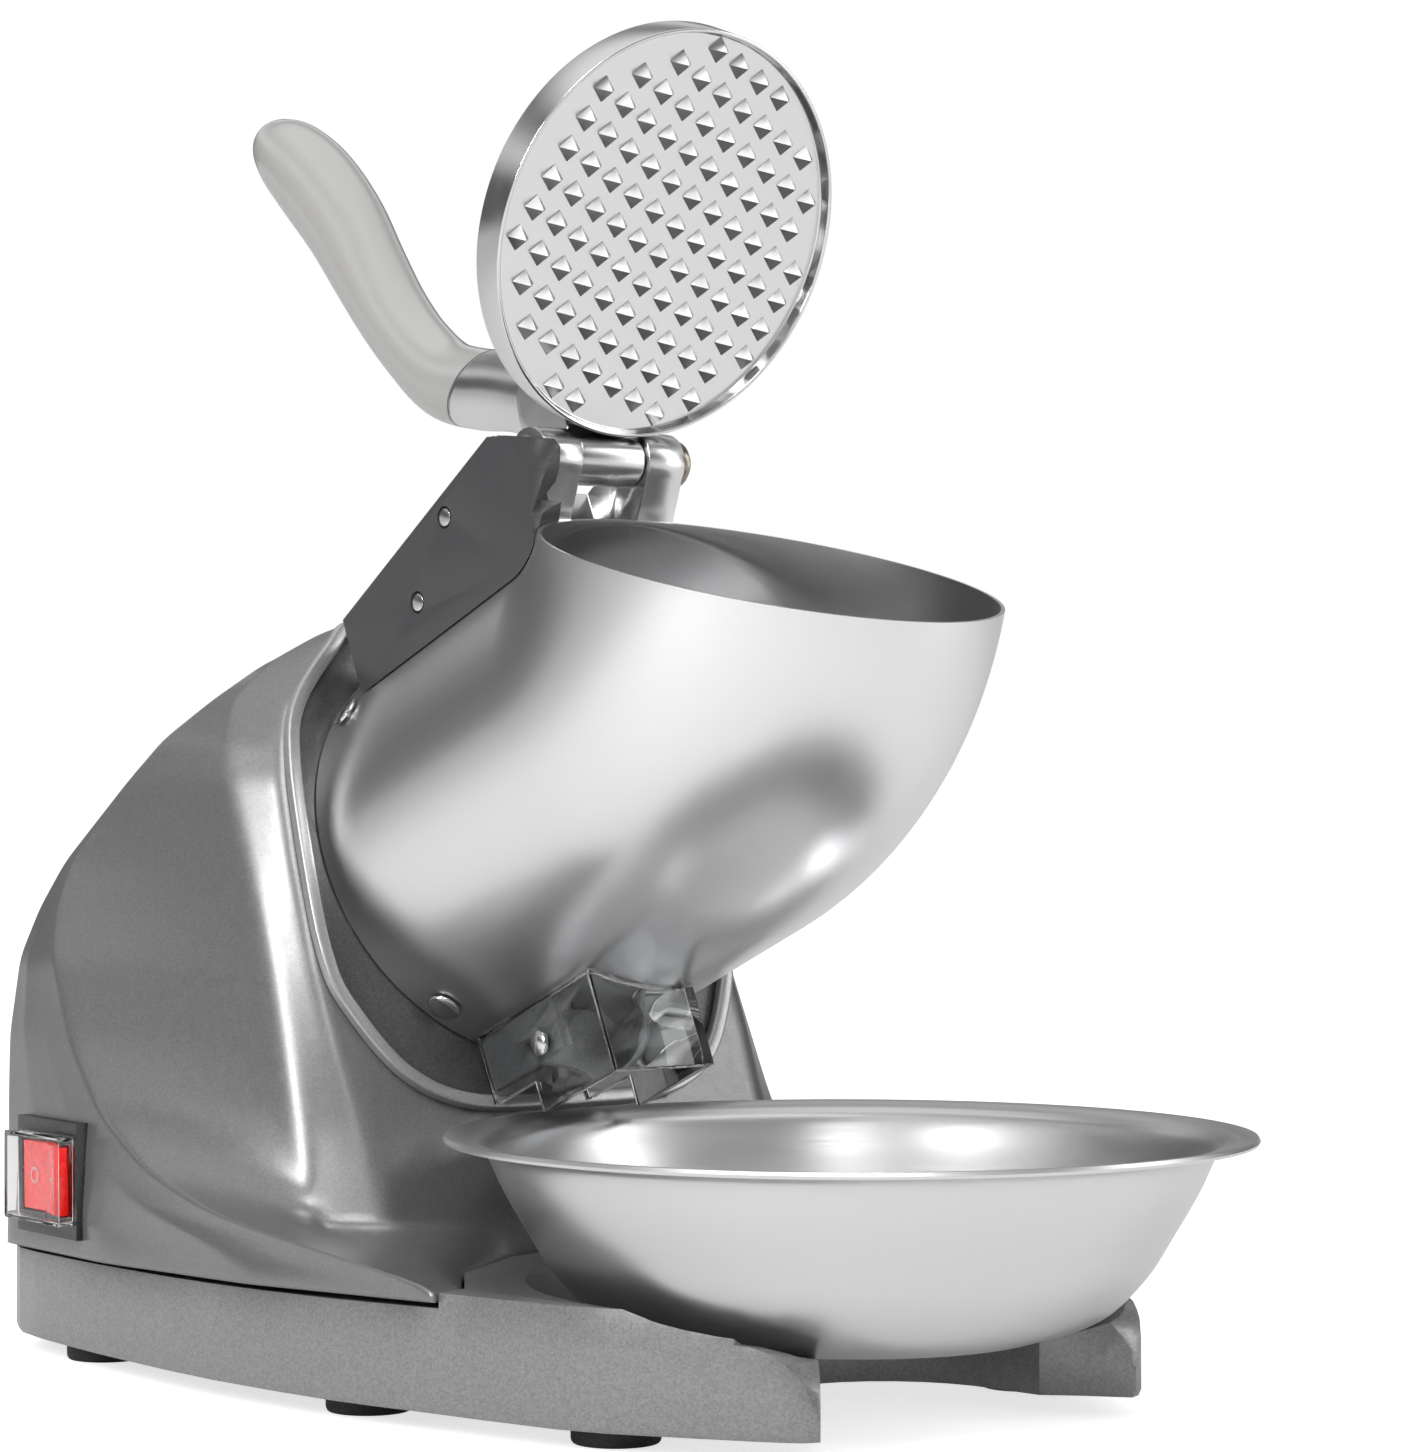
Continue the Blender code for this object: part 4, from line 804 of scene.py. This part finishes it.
# ---------------------------------------------------------------- Floor, lights and camera
# Plain pale floor; soft lights above the front left, at the left and at the right, and a pale surround
# with two darker bands, which give the polished pieces their soft dark reflections.

def sheet(name, size, z, look):
    """Level square sheet at one height."""
    mesh = bpy.data.meshes.new(name)
    corners = [(-size, -size, z), (size, -size, z), (size, size, z), (-size, size, z)]
    mesh.from_pydata(corners, [], [(0, 1, 2, 3)])
    mesh.materials.append(look)
    piece = bpy.data.objects.new(name, mesh)
    bpy.context.scene.collection.objects.link(piece)
    return piece


pale, pale_tree, pale_shader, _ = blank("pale floor", (0.8, 0.8, 0.8), 0.0)
pale_shader.inputs["Roughness"].default_value = 0.7
pale_shader.inputs["Emission Color"].default_value = (1.0, 1.0, 1.0, 1.0)
lift_white = pale_tree.nodes.new("ShaderNodeMath")
lift_white.operation = "MULTIPLY_ADD"
lift_white.inputs[1].default_value = 0.6
lift_white.inputs[2].default_value = 0.12
straight = pale_tree.nodes.new("ShaderNodeLightPath")
pale_tree.links.new(straight.outputs["Is Camera Ray"], lift_white.inputs[0])
pale_tree.links.new(lift_white.outputs["Value"], pale_shader.inputs["Emission Strength"])
sheet("studio_floor", 40.0, 0.0, pale)


def lamp(name, place, target, size, power):
    """Square soft light at a place, turned to a target."""
    light = bpy.data.lights.new(name, "AREA")
    light.shape = "RECTANGLE"
    light.size, light.size_y = size
    light.energy = power
    piece = bpy.data.objects.new(name, light)
    bpy.context.scene.collection.objects.link(piece)
    piece.location = place
    direction = np.array(target) - np.array(place)
    flat = np.hypot(direction[0], direction[1])
    piece.rotation_euler = (np.arctan2(flat, -direction[2]), 0, np.arctan2(-direction[0], direction[1]))


lamp("key light", (-0.75, -1.0, 1.65), (0, 0, 0.16), (0.5, 0.9), 11)
lamp("edge light", (-1.76, -0.32, 1.1), (0, 0, 0.15), (0.2, 0.9), 20)
lamp("right light", (1.5, -1.2, 0.8), (0, 0, 0.2), (0.5, 1.5), 8)

world = bpy.data.worlds.new("studio")
world.use_nodes = True
bpy.context.scene.world = world
sky = world.node_tree
ground = sky.nodes["Background"]
ground.inputs["Strength"].default_value = 1.0
look_up = sky.nodes.new("ShaderNodeTexCoord")
split_up = sky.nodes.new("ShaderNodeSeparateXYZ")
sky.links.new(look_up.outputs["Generated"], split_up.inputs["Vector"])
ramp = sky.nodes.new("ShaderNodeValToRGB")
ramp.color_ramp.interpolation = "EASE"
ramp.color_ramp.elements[0].position = 0.0
ramp.color_ramp.elements[0].color = (0.7, 0.7, 0.7, 1.0)
ramp.color_ramp.elements[1].position = 0.9
ramp.color_ramp.elements[1].color = (0.98, 0.98, 0.98, 1.0)
for height, grey in ((0.1, 0.12), (0.3, 0.12), (0.48, 0.75), (0.68, 0.2)):
    ramp.color_ramp.elements.new(height).color = (grey, grey, grey * 1.01, 1.0)
sky.links.new(split_up.outputs["Z"], ramp.inputs["Fac"])
seen = sky.nodes.new("ShaderNodeLightPath")
choose = sky.nodes.new("ShaderNodeMix")
choose.data_type = "RGBA"
choose.inputs["B"].default_value = (1.0, 1.0, 1.0, 1.0)
sky.links.new(seen.outputs["Is Camera Ray"], choose.inputs["Factor"])
sky.links.new(ramp.outputs["Color"], choose.inputs["A"])
sky.links.new(choose.outputs["Result"], ground.inputs["Color"])
bpy.context.scene.view_settings.view_transform = "Standard"

lens = bpy.data.cameras.new("camera")
lens.lens = 103.1
lens.shift_y = 0.0213
lens.clip_start = 0.01
camera = bpy.data.objects.new("camera", lens)
camera.location = (-0.8285, -1.0027, 0.1946)
camera.rotation_euler = (radians(90), 0, radians(-40.5))
bpy.context.scene.collection.objects.link(camera)
bpy.context.scene.camera = camera
